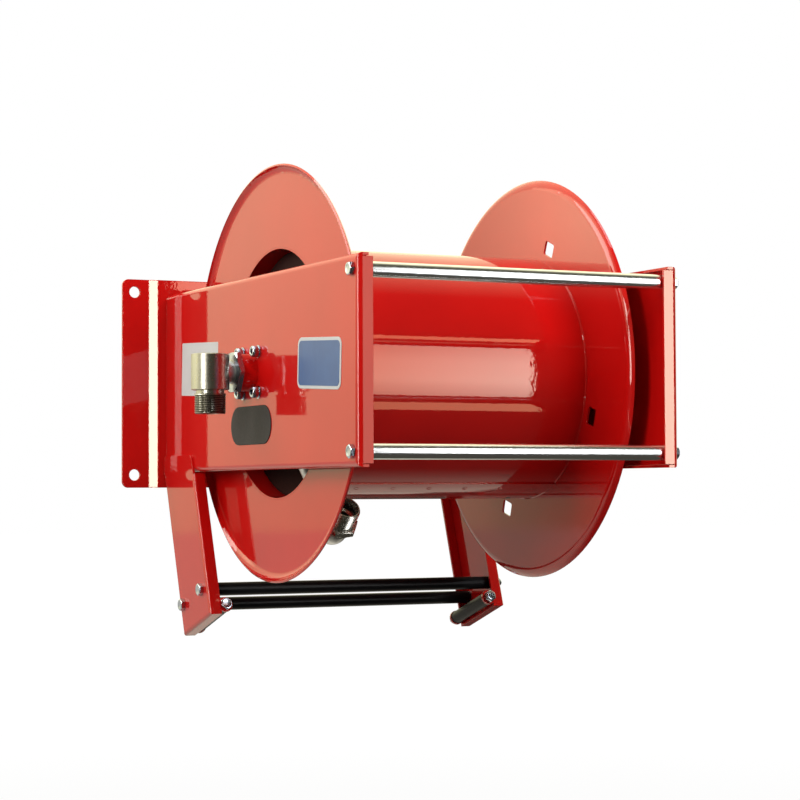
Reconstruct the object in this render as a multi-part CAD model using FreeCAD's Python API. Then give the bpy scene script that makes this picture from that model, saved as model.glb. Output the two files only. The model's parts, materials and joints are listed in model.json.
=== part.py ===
import FreeCAD, Part
import math
import os

# Wall-mounted hose reel, in millimetres. The origin is the centre of the four wall bolts
# on the wall plate's back face. +X runs along the drum axis to the right, +Y into the wall, +Z up.
V = FreeCAD.Vector
ALONG_X = V(1, 0, 0)
ALONG_Y = V(0, 1, 0)
ALONG_Z = V(0, 0, 1)

# Clearances
RUNNING_FIT = 0.05        # radial, shaft in bush
SEAT_FIT = 0.02           # radial, between parts pressed or welded together
AXIAL_PLAY = 0.3          # between faces that turn past each other
CUT = 1.0                 # how far a cutting tool runs past the face it cuts

# Wall plate
WALL_TO_AXIS = 283.0
SHEET = 3.0
WALL_WING = 56.5
WALL_HALF_HEIGHT = 130.0
WALL_CORNER_RADIUS = 8.0
WALL_BOLT_INSET = 16.0
WALL_BOLT_HOLE_RADIUS = 7.0
JOGGLE_DEPTH = 3.7
JOGGLE_GAP = 11.0
JOGGLE_LENGTH = 11.0
WALL_BEND_RADIUS = 4.0

# Side plates
FRAME_HALF_WIDTH = 196.0
PLATE_HALF_HEIGHT = 111.0
PLATE_REACH = 285.0
PLATE_FLANGE = 18.0
PLATE_END_FLANGE = 13.0
PLATE_BEND_RADIUS = 6.0
CORNER_RELIEF = 0.8
REAR_CORNER_RADIUS = 8.0
REAR_FLANGE_STOP = 12.0

# Blanked window in the left side plate
WINDOW_LENGTH = 118.0
WINDOW_HEIGHT = 44.0
WINDOW_DROP = 60.0
COVER_PROUD = 0.8
COVER_LIP = 3.0
COVER_LIP_SHEET = 1.5
COVER_FIT = 0.2

# Tie rods across the front
TIE_RADIUS = 8.5
TIE_WALL = 2.0
TIE_SETBACK = 12.5
TIE_HEIGHT = 94.5
TIE_PLUG_LENGTH = 22.0
TIE_BOLT_LENGTH = 20.0

# M8 fasteners
M8_RADIUS = 4.0
M8_HOLE_RADIUS = 4.3
M8_FLATS = 13.0
M8_HEAD_HEIGHT = 5.3
M8_NUT_HEIGHT = 6.5
M8_NUT_COLLAR = 1.5
M8_POINT = 2.0
M8_WASHER_RADIUS = 8.0
M8_WASHER = 1.6
CAP_WASHER_RADIUS = 7.5
CAP_WASHER = 1.3
CAP_HEAD_RADIUS = 6.5
CAP_HEAD_HEIGHT = 8.0
CAP_SOCKET_FLATS = 6.0
CAP_SOCKET_DEPTH = 4.0

# Hose guide under the drum, in a frame tilted about the drum axis
GUIDE_TILT = 19.0
ARM_FRONT = 203.7
ARM_WIDTH = 94.0
ARM_FOOT = 11.6
ARM_FLANGE = 15.0
ARM_BEND_RADIUS = 4.0
ARM_TOP = 90.6
ARM_TOP_REAR = 275.5
ARM_TAB_RADIUS = 7.0
ARM_FLANGE_GAP = 2.0
ROLLER_RADIUS = 8.0
ROLLER_EDGE_RADIUS = 2.0
ROLLER_DEPTH = 190.2
FRONT_ROLLER_AT = 222.0
REAR_ROLLER_AT = 285.4
END_ROLLER_DROP = 24.4
END_ROLLER_INSET = 17.8
EAR_RADIUS = 9.0
EAR_NECK = 7.0

# Drum
DISC_RADIUS = 240.0
DISC_SETBACK = 34.0
DISC_SHEET = 2.5
RIM_BEND = 13.0
RIM_TURN = 60.0
BARREL_RADIUS = 145.0
BARREL_SHEET = 2.0
BARREL_WELD = 1.2
LAP_ANGLE = 60.7
LAP_WIDTH = 22.0
LAP_STEP = 1.5
SLOT_OFFSET = 18.0
SLOT_RADIAL = 16.5
SLOT_TANGENTIAL = 20.5
SLOT_ANGLES = (22.0, 108.2, 196.0, 286.0)
SLOT_CORNER = 2.5

# Drum end plates and hubs
END_PLATE_RECESS = 20.0
END_PLATE_SHEET = 2.0
END_PLATE_FLANGE = 14.0
END_PLATE_BEND = 5.0
HUB_RADIUS = 27.0
LEFT_HUB_LENGTH = 36.0
LEFT_HUB_SEAT = 13.0
LEFT_HUB_WEB = 3.0
RIGHT_HUB_LENGTH = 26.0

# Water shaft, its bearing and the swivel elbow
SHAFT_RADIUS = 15.0
SHAFT_BORE_RADIUS = 9.0
BUSH_OUTER_RADIUS = 18.0
SPACER_RADIUS = 19.0
FLANGE_HALF_SPACING = 23.0
FLANGE_LOBE_RADIUS = 9.0
FLANGE_WAIST = 4.0
FLANGE_THICKNESS = 10.0
BOSS_RADIUS = 21.5
BOSS_FIT = 0.3
BOSS_PROUD = 17.5
SHAFT_NUT_FLATS = 45.0
SHAFT_NUT_LENGTH = 6.5
ELBOW_OFFSET = 50.0
ELBOW_RADIUS = 21.7
ELBOW_HALF_HEIGHT = 20.5
ELBOW_BORE_RADIUS = 9.5
ELBOW_BORE_TOP = 8.0
SPIGOT_RADIUS = 13.0
SPIGOT_SETBACK = 6.0
SPIGOT_FLOOR = 1.0
SNAP_INSET = 9.0
SNAP_WIDTH = 1.6
SNAP_DEPTH = 1.4
SEAL_INSET = 4.0
SEAL_WIDTH = 2.6
SEAL_DEPTH = 1.6
INLET_THREAD_RADIUS = 18.0
INLET_NECK_RADIUS = 16.0
INLET_NECK_LENGTH = 4.0
INLET_THREAD_LENGTH = 23.0
THREAD_CHAMFER = 1.5

# Water outlet: a bent pipe out of the drum with a fitting on its end
PIPE_RADIUS = 13.45
PIPE_WALL = 2.6
PIPE_GAP = 1.0
PIPE_START_ANGLE = 34.0
PIPE_JOG_FROM = 100.0
PIPE_JOG_TO = 135.0
PIPE_JOG_RADIUS = 40.0
OUTLET_INSET = 21.0
OUTLET_ANGLE = 25.7
OUTLET_CORNER = 216.1
OUTLET_BEND_RADIUS = 20.0
OUTLET_RISE = 43.0
OUTLET_REACH = 61.7
OUTLET_COLLAR_RADIUS = 16.5
OUTLET_COLLAR_LENGTH = 4.0
OUTLET_HEX_FLATS = 38.0
OUTLET_HEX_LENGTH = 8.0
OUTLET_THREAD_RADIUS = 16.6
OUTLET_THREAD_LENGTH = 22.0
OUTLET_BORE_RADIUS = 11.0
OUTLET_SOCKET = 8.0

# Spring motor on a fixed arbor
ARBOR_RADIUS = 12.5
ARBOR_SQUARE = 17.4
ARBOR_SQUARE_END = 6.0
ARBOR_BUSH_WALL = 3.0
SPRING_CASE_END_GAP = 17.5
SPRING_CASE_SHEET = 2.0
SPRING_CASE_GAP = 10.0
SPRING_CASE_HOLE = 17.0
SPRING_SIDE_GAP = 7.0
SPRING_STRIP = 2.5
SPRING_TURNS = 5
SPRING_INNER_RADIUS = 13.2
SPRING_LIP_GAP = 1.0

# Ratchet
RATCHET_RADIUS = 84.0
RATCHET_TEETH = 12
RATCHET_NOTCH_WIDTH = 31.0
RATCHET_NOTCH_DEPTH = 9.0
RATCHET_THICKNESS = 5.0
RATCHET_SETBACK = 4.0
RATCHET_SCREW_CIRCLE = 21.0
PAWL_PIVOT_HEIGHT = 95.0
PAWL_LENGTH = 16.0
PAWL_HUB_RADIUS = 8.0
PAWL_TIP_RADIUS = 3.0
PAWL_THICKNESS = 8.0
PAWL_SPRING_WIRE = 1.5
PAWL_SPRING_LEG = 12.0

# Places worked out from the sizes above
AXIS_Y = -WALL_TO_AXIS
WALL_HALF_WIDTH = FRAME_HALF_WIDTH + WALL_WING
JOGGLE_START = FRAME_HALF_WIDTH + JOGGLE_GAP
WEB_FRONT_Y = -SHEET - JOGGLE_DEPTH
PLATE_FRONT_Y = AXIS_Y - PLATE_REACH
PLATE_INNER_X = FRAME_HALF_WIDTH - SHEET
ARM_OUTER_X = FRAME_HALF_WIDTH + SHEET
TIE_Y = PLATE_FRONT_Y + TIE_SETBACK
END_ROLLER_DEPTH = ROLLER_DEPTH + END_ROLLER_DROP
ARM_BOTTOM = END_ROLLER_DEPTH + ARM_FOOT
DISC_INNER_X = FRAME_HALF_WIDTH - DISC_SETBACK
DISC_OUTER_X = DISC_INNER_X + DISC_SHEET
BARREL_INNER_RADIUS = BARREL_RADIUS - BARREL_SHEET
SLOT_RADIUS = BARREL_RADIUS + SLOT_OFFSET
END_PLATE_X = DISC_OUTER_X - END_PLATE_RECESS
HUB_FACE_X = END_PLATE_X - END_PLATE_SHEET
FLANGE_INNER_X = PLATE_INNER_X - FLANGE_THICKNESS
BOSS_FACE_X = FRAME_HALF_WIDTH + BOSS_PROUD
NUT_INNER_X = BOSS_FACE_X + AXIAL_PLAY
NUT_OUTER_X = NUT_INNER_X + SHAFT_NUT_LENGTH
ELBOW_X = FRAME_HALF_WIDTH + ELBOW_OFFSET
SPIGOT_END_X = ELBOW_X - SPIGOT_SETBACK
SNAP_X = SPIGOT_END_X - SNAP_INSET
SEAL_X = SPIGOT_END_X - SEAL_INSET
INLET_END_Z = -ELBOW_HALF_HEIGHT - INLET_NECK_LENGTH - INLET_THREAD_LENGTH
PIPE_X = END_PLATE_X + PIPE_RADIUS + PIPE_GAP
OUTLET_X = DISC_INNER_X - OUTLET_INSET
ARBOR_END_X = BOSS_FACE_X + ARBOR_SQUARE_END
SPRING_CASE_LENGTH = HUB_FACE_X - LEFT_HUB_LENGTH - SPRING_CASE_END_GAP - SPRING_CASE_GAP / 2
SPRING_WIDTH = SPRING_CASE_LENGTH - 2 * SPRING_SIDE_GAP
RATCHET_X = DISC_OUTER_X + RATCHET_SETBACK


def on_axis(x, y=0.0, z=0.0):
    """A point given from the drum axis."""
    return V(x, AXIS_Y + y, z)


def block(low, high):
    """A box between two corners."""
    size = high - low
    return Part.makeBox(size.x, size.y, size.z, low)


def rod(start, direction, radius, length):
    return Part.makeCylinder(radius, length, start, direction)


def ring(start, direction, outer, inner, length):
    tube = rod(start, direction, outer, length)
    return tube.cut(rod(start - direction * CUT, direction, inner, length + 2 * CUT))


def prism(corners, direction):
    """A solid from a closed outline of points, pushed along a vector."""
    outline = Part.makePolygon(corners + [corners[0]])
    return Part.Face(outline).extrude(direction)


def hexagon(start, direction, flats, length):
    """A hexagonal prism with one corner up where the direction allows."""
    side = V(0, 0, 1) if abs(direction.z) < 0.9 else V(1, 0, 0)
    across = direction.cross(side)
    across.normalize()
    up = across.cross(direction)
    reach = flats / math.sqrt(3)
    corners = []
    for step in range(6):
        turn = math.radians(60 * step)
        corners.append(start + up * (reach * math.cos(turn)) + across * (reach * math.sin(turn)))
    return prism(corners, direction * length)


def edges_on(shape, x=None, y=None, z=None):
    """The edges whose ends all lie at the given coordinates."""
    picked = []
    for edge in shape.Edges:
        points = [vertex.Point for vertex in edge.Vertexes]
        fits = all(
            (x is None or abs(point.x - x) < 0.01)
            and (y is None or abs(point.y - y) < 0.01)
            and (z is None or abs(point.z - z) < 0.01)
            for point in points
        )
        if fits:
            picked.append(edge)
    return picked


def mirrored(shape):
    return shape.mirror(V(0, 0, 0), ALONG_X)


def tilted(shape):
    """Turns a shape made upright into the frame of the hose guide."""
    turned = shape.copy()
    turned.rotate(on_axis(0), ALONG_X, -GUIDE_TILT)
    return turned


def group(shapes):
    return Part.makeCompound(shapes)


def hex_bolt(seat, direction, length):
    """A bolt whose head stands on the seat and whose shank runs along the direction."""
    head = hexagon(seat - direction * M8_HEAD_HEIGHT, direction, M8_FLATS, M8_HEAD_HEIGHT)
    return head.fuse(rod(seat, direction, M8_RADIUS, length))


def lock_nut(seat, direction):
    """A nut with a rounded locking collar, standing on the seat."""
    body = hexagon(seat, direction, M8_FLATS, M8_NUT_HEIGHT)
    collar = Part.makeCone(M8_FLATS / 2, M8_FLATS / 2 - M8_NUT_COLLAR, M8_NUT_COLLAR,
                           seat + direction * M8_NUT_HEIGHT, direction)
    bore = rod(seat - direction * CUT, direction, M8_RADIUS + SEAT_FIT,
               M8_NUT_HEIGHT + M8_NUT_COLLAR + 2 * CUT)
    return body.fuse(collar).cut(bore)


def cap_screw(seat, direction, length):
    """A socket head screw whose head stands on the seat, against the direction."""
    top = seat - direction * CAP_HEAD_HEIGHT
    head = rod(top, direction, CAP_HEAD_RADIUS, CAP_HEAD_HEIGHT)
    socket = hexagon(top - direction * CUT, direction, CAP_SOCKET_FLATS, CAP_SOCKET_DEPTH + CUT)
    return head.cut(socket).fuse(rod(seat, direction, M8_RADIUS, length))


# Frame


def wall_plate():
    """One sheet: a raised centre web with a joggle down to the wing at each end."""
    end = JOGGLE_START + JOGGLE_LENGTH
    back = [(-WALL_HALF_WIDTH, 0), (-end, 0), (-JOGGLE_START, -JOGGLE_DEPTH),
            (JOGGLE_START, -JOGGLE_DEPTH), (end, 0), (WALL_HALF_WIDTH, 0)]
    front = [(x, y - SHEET) for x, y in reversed(back)]
    corners = [V(x, y, -WALL_HALF_HEIGHT) for x, y in back + front]
    plate = prism(corners, ALONG_Z * (2 * WALL_HALF_HEIGHT))
    for bend_x in (-end, -JOGGLE_START, JOGGLE_START, end):
        plate = plate.makeFillet(WALL_BEND_RADIUS, edges_on_bend(plate, bend_x))
    corner_edges = []
    for side in (-1, 1):
        for level in (-1, 1):
            corner_edges += edges_on(plate, x=side * WALL_HALF_WIDTH, z=level * WALL_HALF_HEIGHT)
    plate = plate.makeFillet(WALL_CORNER_RADIUS, corner_edges)
    for side in (-1, 1):
        for level in (-1, 1):
            centre = V(side * (WALL_HALF_WIDTH - WALL_BOLT_INSET), CUT,
                       level * (WALL_HALF_HEIGHT - WALL_BOLT_INSET))
            plate = plate.cut(rod(centre, -ALONG_Y, WALL_BOLT_HOLE_RADIUS, SHEET + 2 * CUT))
    return plate


def edges_on_bend(plate, bend_x):
    """The two full-height edges of one bend line."""
    picked = []
    for edge in edges_on(plate, x=bend_x):
        if abs(edge.Length - 2 * WALL_HALF_HEIGHT) < 0.01:
            picked.append(edge)
    return picked


def plate_shell():
    """The left side plate before its holes: a web with top, bottom and front flanges."""
    web_x = -FRAME_HALF_WIDTH
    edge_x = web_x + PLATE_FLANGE
    shell = block(V(web_x, PLATE_FRONT_Y, -PLATE_HALF_HEIGHT),
                  V(edge_x, WEB_FRONT_Y, PLATE_HALF_HEIGHT))
    shell = shell.makeFillet(PLATE_BEND_RADIUS, edges_on(shell, x=web_x, z=PLATE_HALF_HEIGHT)
                             + edges_on(shell, x=web_x, z=-PLATE_HALF_HEIGHT)
                             + edges_on(shell, x=web_x, y=PLATE_FRONT_Y))
    inside_height = PLATE_HALF_HEIGHT - SHEET
    inside = block(V(web_x + SHEET, PLATE_FRONT_Y + SHEET, -inside_height),
                   V(edge_x + CUT, WEB_FRONT_Y + CUT, inside_height))
    inner_bend = PLATE_BEND_RADIUS - SHEET
    inside = inside.makeFillet(inner_bend, edges_on(inside, x=web_x + SHEET, z=inside_height)
                               + edges_on(inside, x=web_x + SHEET, z=-inside_height)
                               + edges_on(inside, x=web_x + SHEET, y=PLATE_FRONT_Y + SHEET))
    return shell.cut(inside)


def side_plate(with_window):
    """The left side plate, with its bearing and tie rod holes and, if wanted, its window."""
    web_x = -FRAME_HALF_WIDTH
    edge_x = web_x + PLATE_FLANGE
    inside_height = PLATE_HALF_HEIGHT - SHEET
    plate = plate_shell()
    for level in (-1, 1):
        slit_z = sorted((level * inside_height, level * (inside_height - CORNER_RELIEF)))
        plate = plate.cut(block(V(web_x + PLATE_BEND_RADIUS, PLATE_FRONT_Y - CUT, slit_z[0]),
                                V(edge_x + CUT, PLATE_FRONT_Y + SHEET, slit_z[1])))
        trim_z = sorted((level * (inside_height - CORNER_RELIEF), level * (PLATE_HALF_HEIGHT + CUT)))
        plate = plate.cut(block(V(web_x + PLATE_END_FLANGE, PLATE_FRONT_Y - CUT, trim_z[0]),
                                V(edge_x + CUT, WEB_FRONT_Y + CUT, trim_z[1])))
        plate = plate.cut(rear_corner(level))
    plate = plate.cut(block(V(web_x + SHEET, WEB_FRONT_Y - REAR_FLANGE_STOP, -PLATE_HALF_HEIGHT - CUT),
                            V(edge_x + CUT, WEB_FRONT_Y + CUT, PLATE_HALF_HEIGHT + CUT)))
    through = V(web_x - CUT, 0, 0)
    depth = SHEET + 2 * CUT
    for level in (-1, 1):
        plate = plate.cut(rod(through + V(0, TIE_Y, level * TIE_HEIGHT), ALONG_X, M8_HOLE_RADIUS, depth))
    for y, z in flange_screw_places():
        plate = plate.cut(rod(through + V(0, AXIS_Y + y, z), ALONG_X, M8_HOLE_RADIUS, depth))
    plate = plate.cut(rod(through + V(0, AXIS_Y, 0), ALONG_X, BOSS_RADIUS + BOSS_FIT, depth))
    if with_window:
        plate = plate.cut(obround(through.x, WINDOW_LENGTH, WINDOW_HEIGHT, depth))
    return plate


def rear_corner(level):
    """The cutter that rounds the web's top or bottom corner beside the wall plate."""
    centre_y = WEB_FRONT_Y - REAR_CORNER_RADIUS
    centre_z = level * (PLATE_HALF_HEIGHT - REAR_CORNER_RADIUS)
    heights = sorted((centre_z, level * (PLATE_HALF_HEIGHT + CUT)))
    start_x = -FRAME_HALF_WIDTH - CUT
    width = PLATE_FLANGE + 2 * CUT
    corner = block(V(start_x, centre_y, heights[0]), V(start_x + width, WEB_FRONT_Y + CUT, heights[1]))
    return corner.cut(rod(V(start_x, centre_y, centre_z), ALONG_X, REAR_CORNER_RADIUS, width))


def obround(start_x, length, height, depth):
    """A slot with round ends at the window's place, pushed along +X."""
    straight = (length - height) / 2
    centre = on_axis(start_x, 0, -WINDOW_DROP)
    slot = block(centre + V(0, -straight, -height / 2), centre + V(depth, straight, height / 2))
    for side in (-1, 1):
        slot = slot.fuse(rod(centre + V(0, side * straight, 0), ALONG_X, height / 2, depth))
    return slot.removeSplitter()


def flange_screw_places():
    places = []
    for y in (-FLANGE_HALF_SPACING, FLANGE_HALF_SPACING):
        for z in (-FLANGE_HALF_SPACING, FLANGE_HALF_SPACING):
            places.append((y, z))
    return places


def right_side_plate():
    plate = mirrored(side_plate(False))
    return plate.cut(rod(on_axis(PLATE_INNER_X - CUT, 0, PAWL_PIVOT_HEIGHT), ALONG_X, M8_HOLE_RADIUS,
                         SHEET + 2 * CUT))


def window_cover():
    """A moulded plug: a thin face just proud of the sheet and a lip inside the window."""
    face_length = WINDOW_LENGTH - 2 * COVER_FIT
    face_height = WINDOW_HEIGHT - 2 * COVER_FIT
    start_x = -FRAME_HALF_WIDTH - COVER_PROUD
    depth = COVER_PROUD + SHEET + COVER_LIP
    body = obround(start_x, face_length, face_height, depth)
    hollow = obround(start_x + COVER_PROUD + SHEET / 2, face_length - 2 * COVER_LIP_SHEET,
                     face_height - 2 * COVER_LIP_SHEET, depth)
    return body.cut(hollow)


def tie_rod(level):
    start = V(-PLATE_INNER_X, TIE_Y, level * TIE_HEIGHT)
    return ring(start, ALONG_X, TIE_RADIUS, TIE_RADIUS - TIE_WALL, 2 * PLATE_INNER_X)


def tie_rod_plugs():
    """Threaded plugs pressed into both ends of both tie rods."""
    plugs = []
    for side in (-1, 1):
        for level in (-1, 1):
            start = V(side * PLATE_INNER_X, TIE_Y, level * TIE_HEIGHT)
            plugs.append(ring(start, ALONG_X * -side, TIE_RADIUS - TIE_WALL - SEAT_FIT,
                              M8_RADIUS + SEAT_FIT, TIE_PLUG_LENGTH))
    return group(plugs)


def tie_rod_bolts():
    bolts = []
    for side in (-1, 1):
        for level in (-1, 1):
            seat = V(side * FRAME_HALF_WIDTH, TIE_Y, level * TIE_HEIGHT)
            bolts.append(hex_bolt(seat, ALONG_X * -side, SHEET + TIE_BOLT_LENGTH))
    return group(bolts)


# Hose guide


def guide_arm():
    """The left arm: a folded channel, open at the top, with an ear at each end roller bolt."""
    rear = ARM_FRONT + ARM_WIDTH
    top_z = ARM_BOTTOM
    outer_x = -ARM_OUTER_X
    flange_x = outer_x + ARM_FLANGE
    channel = block(on_axis(outer_x, ARM_FRONT, -ARM_BOTTOM), on_axis(flange_x, rear, top_z))
    channel = channel.makeFillet(ARM_BEND_RADIUS, edges_on(channel, x=outer_x, y=AXIS_Y + ARM_FRONT)
                                 + edges_on(channel, x=outer_x, y=AXIS_Y + rear)
                                 + edges_on(channel, x=outer_x, z=-ARM_BOTTOM))
    channel = channel.cut(block(on_axis(outer_x + SHEET, ARM_FRONT + SHEET, -ARM_BOTTOM + SHEET),
                                on_axis(flange_x + CUT, rear - SHEET, top_z + CUT)))
    ear_x = -(FRAME_HALF_WIDTH - END_ROLLER_INSET)
    for start in (ARM_FRONT, rear - SHEET):
        ear = rod(on_axis(ear_x, start, -END_ROLLER_DEPTH), ALONG_Y, EAR_RADIUS, SHEET)
        neck = block(on_axis(outer_x + ARM_BEND_RADIUS, start, -END_ROLLER_DEPTH - EAR_NECK),
                     on_axis(ear_x, start + SHEET, -END_ROLLER_DEPTH + EAR_NECK))
        channel = channel.fuse(ear).fuse(neck)
    axle_hole = rod(on_axis(ear_x, ARM_FRONT - CUT, -END_ROLLER_DEPTH), ALONG_Y,
                    M8_HOLE_RADIUS, ARM_WIDTH + 2 * CUT)
    channel = channel.cut(axle_hole)
    for place in (FRONT_ROLLER_AT, REAR_ROLLER_AT):
        channel = channel.cut(rod(on_axis(outer_x - CUT, place, -ROLLER_DEPTH), ALONG_X,
                                  M8_HOLE_RADIUS, SHEET + 2 * CUT))
    return trimmed_arm(tilted(channel.removeSplitter()))


def trimmed_arm(arm):
    """Cuts the tilted channel level under the side plate and adds the flat tab that laps it."""
    outer_x = -ARM_OUTER_X
    far = 2 * DISC_RADIUS
    level = -PLATE_HALF_HEIGHT - ARM_FLANGE_GAP
    arm = arm.cut(block(on_axis(outer_x - CUT, -far, level), on_axis(0, far, far)))
    arm = arm.cut(block(on_axis(outer_x - CUT, ARM_TOP_REAR, -far), on_axis(0, far, far)))
    corners = [on_axis(outer_x, arm_front_at(level), level), on_axis(outer_x, ARM_TOP_REAR, level),
               on_axis(outer_x, ARM_TOP_REAR, -ARM_TOP), on_axis(outer_x, arm_front_at(-ARM_TOP), -ARM_TOP)]
    tab = prism(corners, ALONG_X * SHEET)
    tab = tab.makeFillet(ARM_TAB_RADIUS, [edge for edge in edges_on(tab, z=-ARM_TOP)
                                          if abs(edge.Length - SHEET) < 0.01])
    return arm.fuse(tab)


def arm_front_at(level):
    """How far from the drum axis the arm's sloping front edge is at a height."""
    turn = math.radians(GUIDE_TILT)
    return (ARM_FRONT + level * math.sin(turn)) / math.cos(turn)


def long_roller(place):
    """A roller between the arms, on a bolt through both of them."""
    length = 2 * (FRAME_HALF_WIDTH - M8_WASHER - AXIAL_PLAY)
    body = rod(on_axis(-length / 2, place, -ROLLER_DEPTH), ALONG_X, ROLLER_RADIUS, length)
    body = body.makeFillet(ROLLER_EDGE_RADIUS, [body.Edges[0], body.Edges[2]])
    bore = rod(on_axis(-length / 2 - CUT, place, -ROLLER_DEPTH), ALONG_X,
               M8_RADIUS + RUNNING_FIT, length + 2 * CUT)
    return tilted(body.cut(bore))


def long_axle(place):
    """The bolt of a long roller: its head on the left arm and its nut on the right one."""
    seat = on_axis(-ARM_OUTER_X, place, -ROLLER_DEPTH)
    length = 2 * ARM_OUTER_X + M8_NUT_HEIGHT + M8_NUT_COLLAR + M8_POINT
    return tilted(hex_bolt(seat, ALONG_X, length))


def roller_washers():
    """A washer between each end of a long roller and its arm."""
    washers = []
    for place in (FRONT_ROLLER_AT, REAR_ROLLER_AT):
        for side in (-1, 1):
            start = on_axis(side * FRAME_HALF_WIDTH, place, -ROLLER_DEPTH)
            washers.append(tilted(ring(start, ALONG_X * -side, M8_WASHER_RADIUS,
                                       M8_RADIUS + SEAT_FIT, M8_WASHER)))
    return group(washers)


def end_roller(side):
    """A short roller inside an arm, across the ends of the long ones."""
    centre_x = side * (FRAME_HALF_WIDTH - END_ROLLER_INSET)
    start = ARM_FRONT + SHEET + AXIAL_PLAY
    length = ARM_WIDTH - 2 * (SHEET + AXIAL_PLAY)
    body = rod(on_axis(centre_x, start, -END_ROLLER_DEPTH), ALONG_Y, ROLLER_RADIUS, length)
    bore = rod(on_axis(centre_x, start - CUT, -END_ROLLER_DEPTH), ALONG_Y,
               M8_RADIUS + RUNNING_FIT, length + 2 * CUT)
    return tilted(body.cut(bore))


def end_axle(side):
    """The bolt of an end roller: its head is in front on the left and behind on the right."""
    centre_x = side * (FRAME_HALF_WIDTH - END_ROLLER_INSET)
    length = ARM_WIDTH + M8_NUT_HEIGHT + M8_NUT_COLLAR + M8_POINT
    if side < 0:
        bolt = hex_bolt(on_axis(centre_x, ARM_FRONT, -END_ROLLER_DEPTH), ALONG_Y, length)
    else:
        bolt = hex_bolt(on_axis(centre_x, ARM_FRONT + ARM_WIDTH, -END_ROLLER_DEPTH), -ALONG_Y, length)
    return tilted(bolt)


def roller_axle_nuts():
    nuts = []
    for place in (FRONT_ROLLER_AT, REAR_ROLLER_AT):
        nuts.append(tilted(lock_nut(on_axis(ARM_OUTER_X, place, -ROLLER_DEPTH), ALONG_X)))
    ear_x = FRAME_HALF_WIDTH - END_ROLLER_INSET
    nuts.append(tilted(lock_nut(on_axis(-ear_x, ARM_FRONT + ARM_WIDTH, -END_ROLLER_DEPTH), ALONG_Y)))
    nuts.append(tilted(lock_nut(on_axis(ear_x, ARM_FRONT, -END_ROLLER_DEPTH), -ALONG_Y)))
    return group(nuts)


# Drum


def disc():
    """The right disc: a flat sheet whose rim curls outward."""
    bend_r = DISC_RADIUS - RIM_BEND * math.sin(math.radians(RIM_TURN))
    centre = V(DISC_INNER_X + RIM_BEND, 0, bend_r)
    inner_bend = RIM_BEND - DISC_SHEET
    hole_r = BARREL_RADIUS + SEAT_FIT
    hose_side = [bend_point(centre, RIM_BEND, turn) for turn in (0, RIM_TURN / 2, RIM_TURN)]
    plate_side = [bend_point(centre, inner_bend, turn) for turn in (RIM_TURN, RIM_TURN / 2, 0)]
    start = V(DISC_INNER_X, 0, hole_r)
    end = V(DISC_OUTER_X, 0, hole_r)
    edges = [
        Part.makeLine(start, hose_side[0]),
        Part.Arc(*hose_side).toShape(),
        Part.makeLine(hose_side[-1], plate_side[0]),
        Part.Arc(*plate_side).toShape(),
        Part.makeLine(plate_side[-1], end),
        Part.makeLine(end, start),
    ]
    profile = Part.Face(Part.Wire(edges))
    profile.translate(V(0, AXIS_Y, 0))
    return profile.revolve(on_axis(0), ALONG_X, 360)


def bend_point(centre, radius, turn):
    """A point on the rim's curl, the given turn away from the flat sheet."""
    angle = math.radians(turn)
    return centre + V(-radius * math.cos(angle), 0, radius * math.sin(angle))


def right_disc():
    """The disc with its ring of punched slots for tying down the hose."""
    plate = disc()
    for angle in SLOT_ANGLES:
        slot = block(on_axis(DISC_INNER_X - CUT, -SLOT_TANGENTIAL / 2, SLOT_RADIUS - SLOT_RADIAL / 2),
                     on_axis(DISC_OUTER_X + CUT, SLOT_TANGENTIAL / 2, SLOT_RADIUS + SLOT_RADIAL / 2))
        corners = [edge for edge in slot.Edges if abs(edge.Length - DISC_SHEET - 2 * CUT) < 0.01]
        slot = slot.makeFillet(SLOT_CORNER, corners)
        slot.rotate(on_axis(0), ALONG_X, angle)
        plate = plate.cut(slot)
    return plate


def drum_barrel():
    """The rolled sheet with its lapped seam, welded to both discs."""
    barrel = rod(on_axis(-DISC_OUTER_X), ALONG_X, BARREL_RADIUS, 2 * DISC_OUTER_X)
    for side in (-1, 1):
        start = on_axis(side * DISC_INNER_X)
        weld = Part.makeCone(BARREL_RADIUS + BARREL_WELD, BARREL_RADIUS, BARREL_WELD,
                             start, ALONG_X * -side)
        barrel = barrel.fuse(weld)
    lap = Part.makeCylinder(BARREL_RADIUS + LAP_STEP, 2 * DISC_INNER_X, on_axis(-DISC_INNER_X), ALONG_X,
                            math.degrees(LAP_WIDTH / BARREL_RADIUS))
    lap.rotate(on_axis(0), ALONG_X, lap_turn(lap))
    barrel = barrel.fuse(lap)
    bore = rod(on_axis(-DISC_OUTER_X - CUT), ALONG_X, BARREL_INNER_RADIUS, 2 * (DISC_OUTER_X + CUT))
    return barrel.cut(bore).cut(swept(pipe_path(), PIPE_RADIUS + SEAT_FIT)).removeSplitter()


def lap_turn(lap):
    """The turn that brings the lap's leading edge to its angle below the drum's front."""
    middle = lap.CenterOfMass - on_axis(lap.CenterOfMass.x)
    now = math.degrees(math.atan2(middle.z, middle.y))
    half = math.degrees(LAP_WIDTH / BARREL_RADIUS) / 2
    return 180 + LAP_ANGLE + half - now


def away_from_axis(angle):
    """Straight away from the drum axis at an angle from the bottom, measured toward the front."""
    turn = math.radians(angle)
    return V(0, -math.sin(turn), -math.cos(turn))


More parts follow.
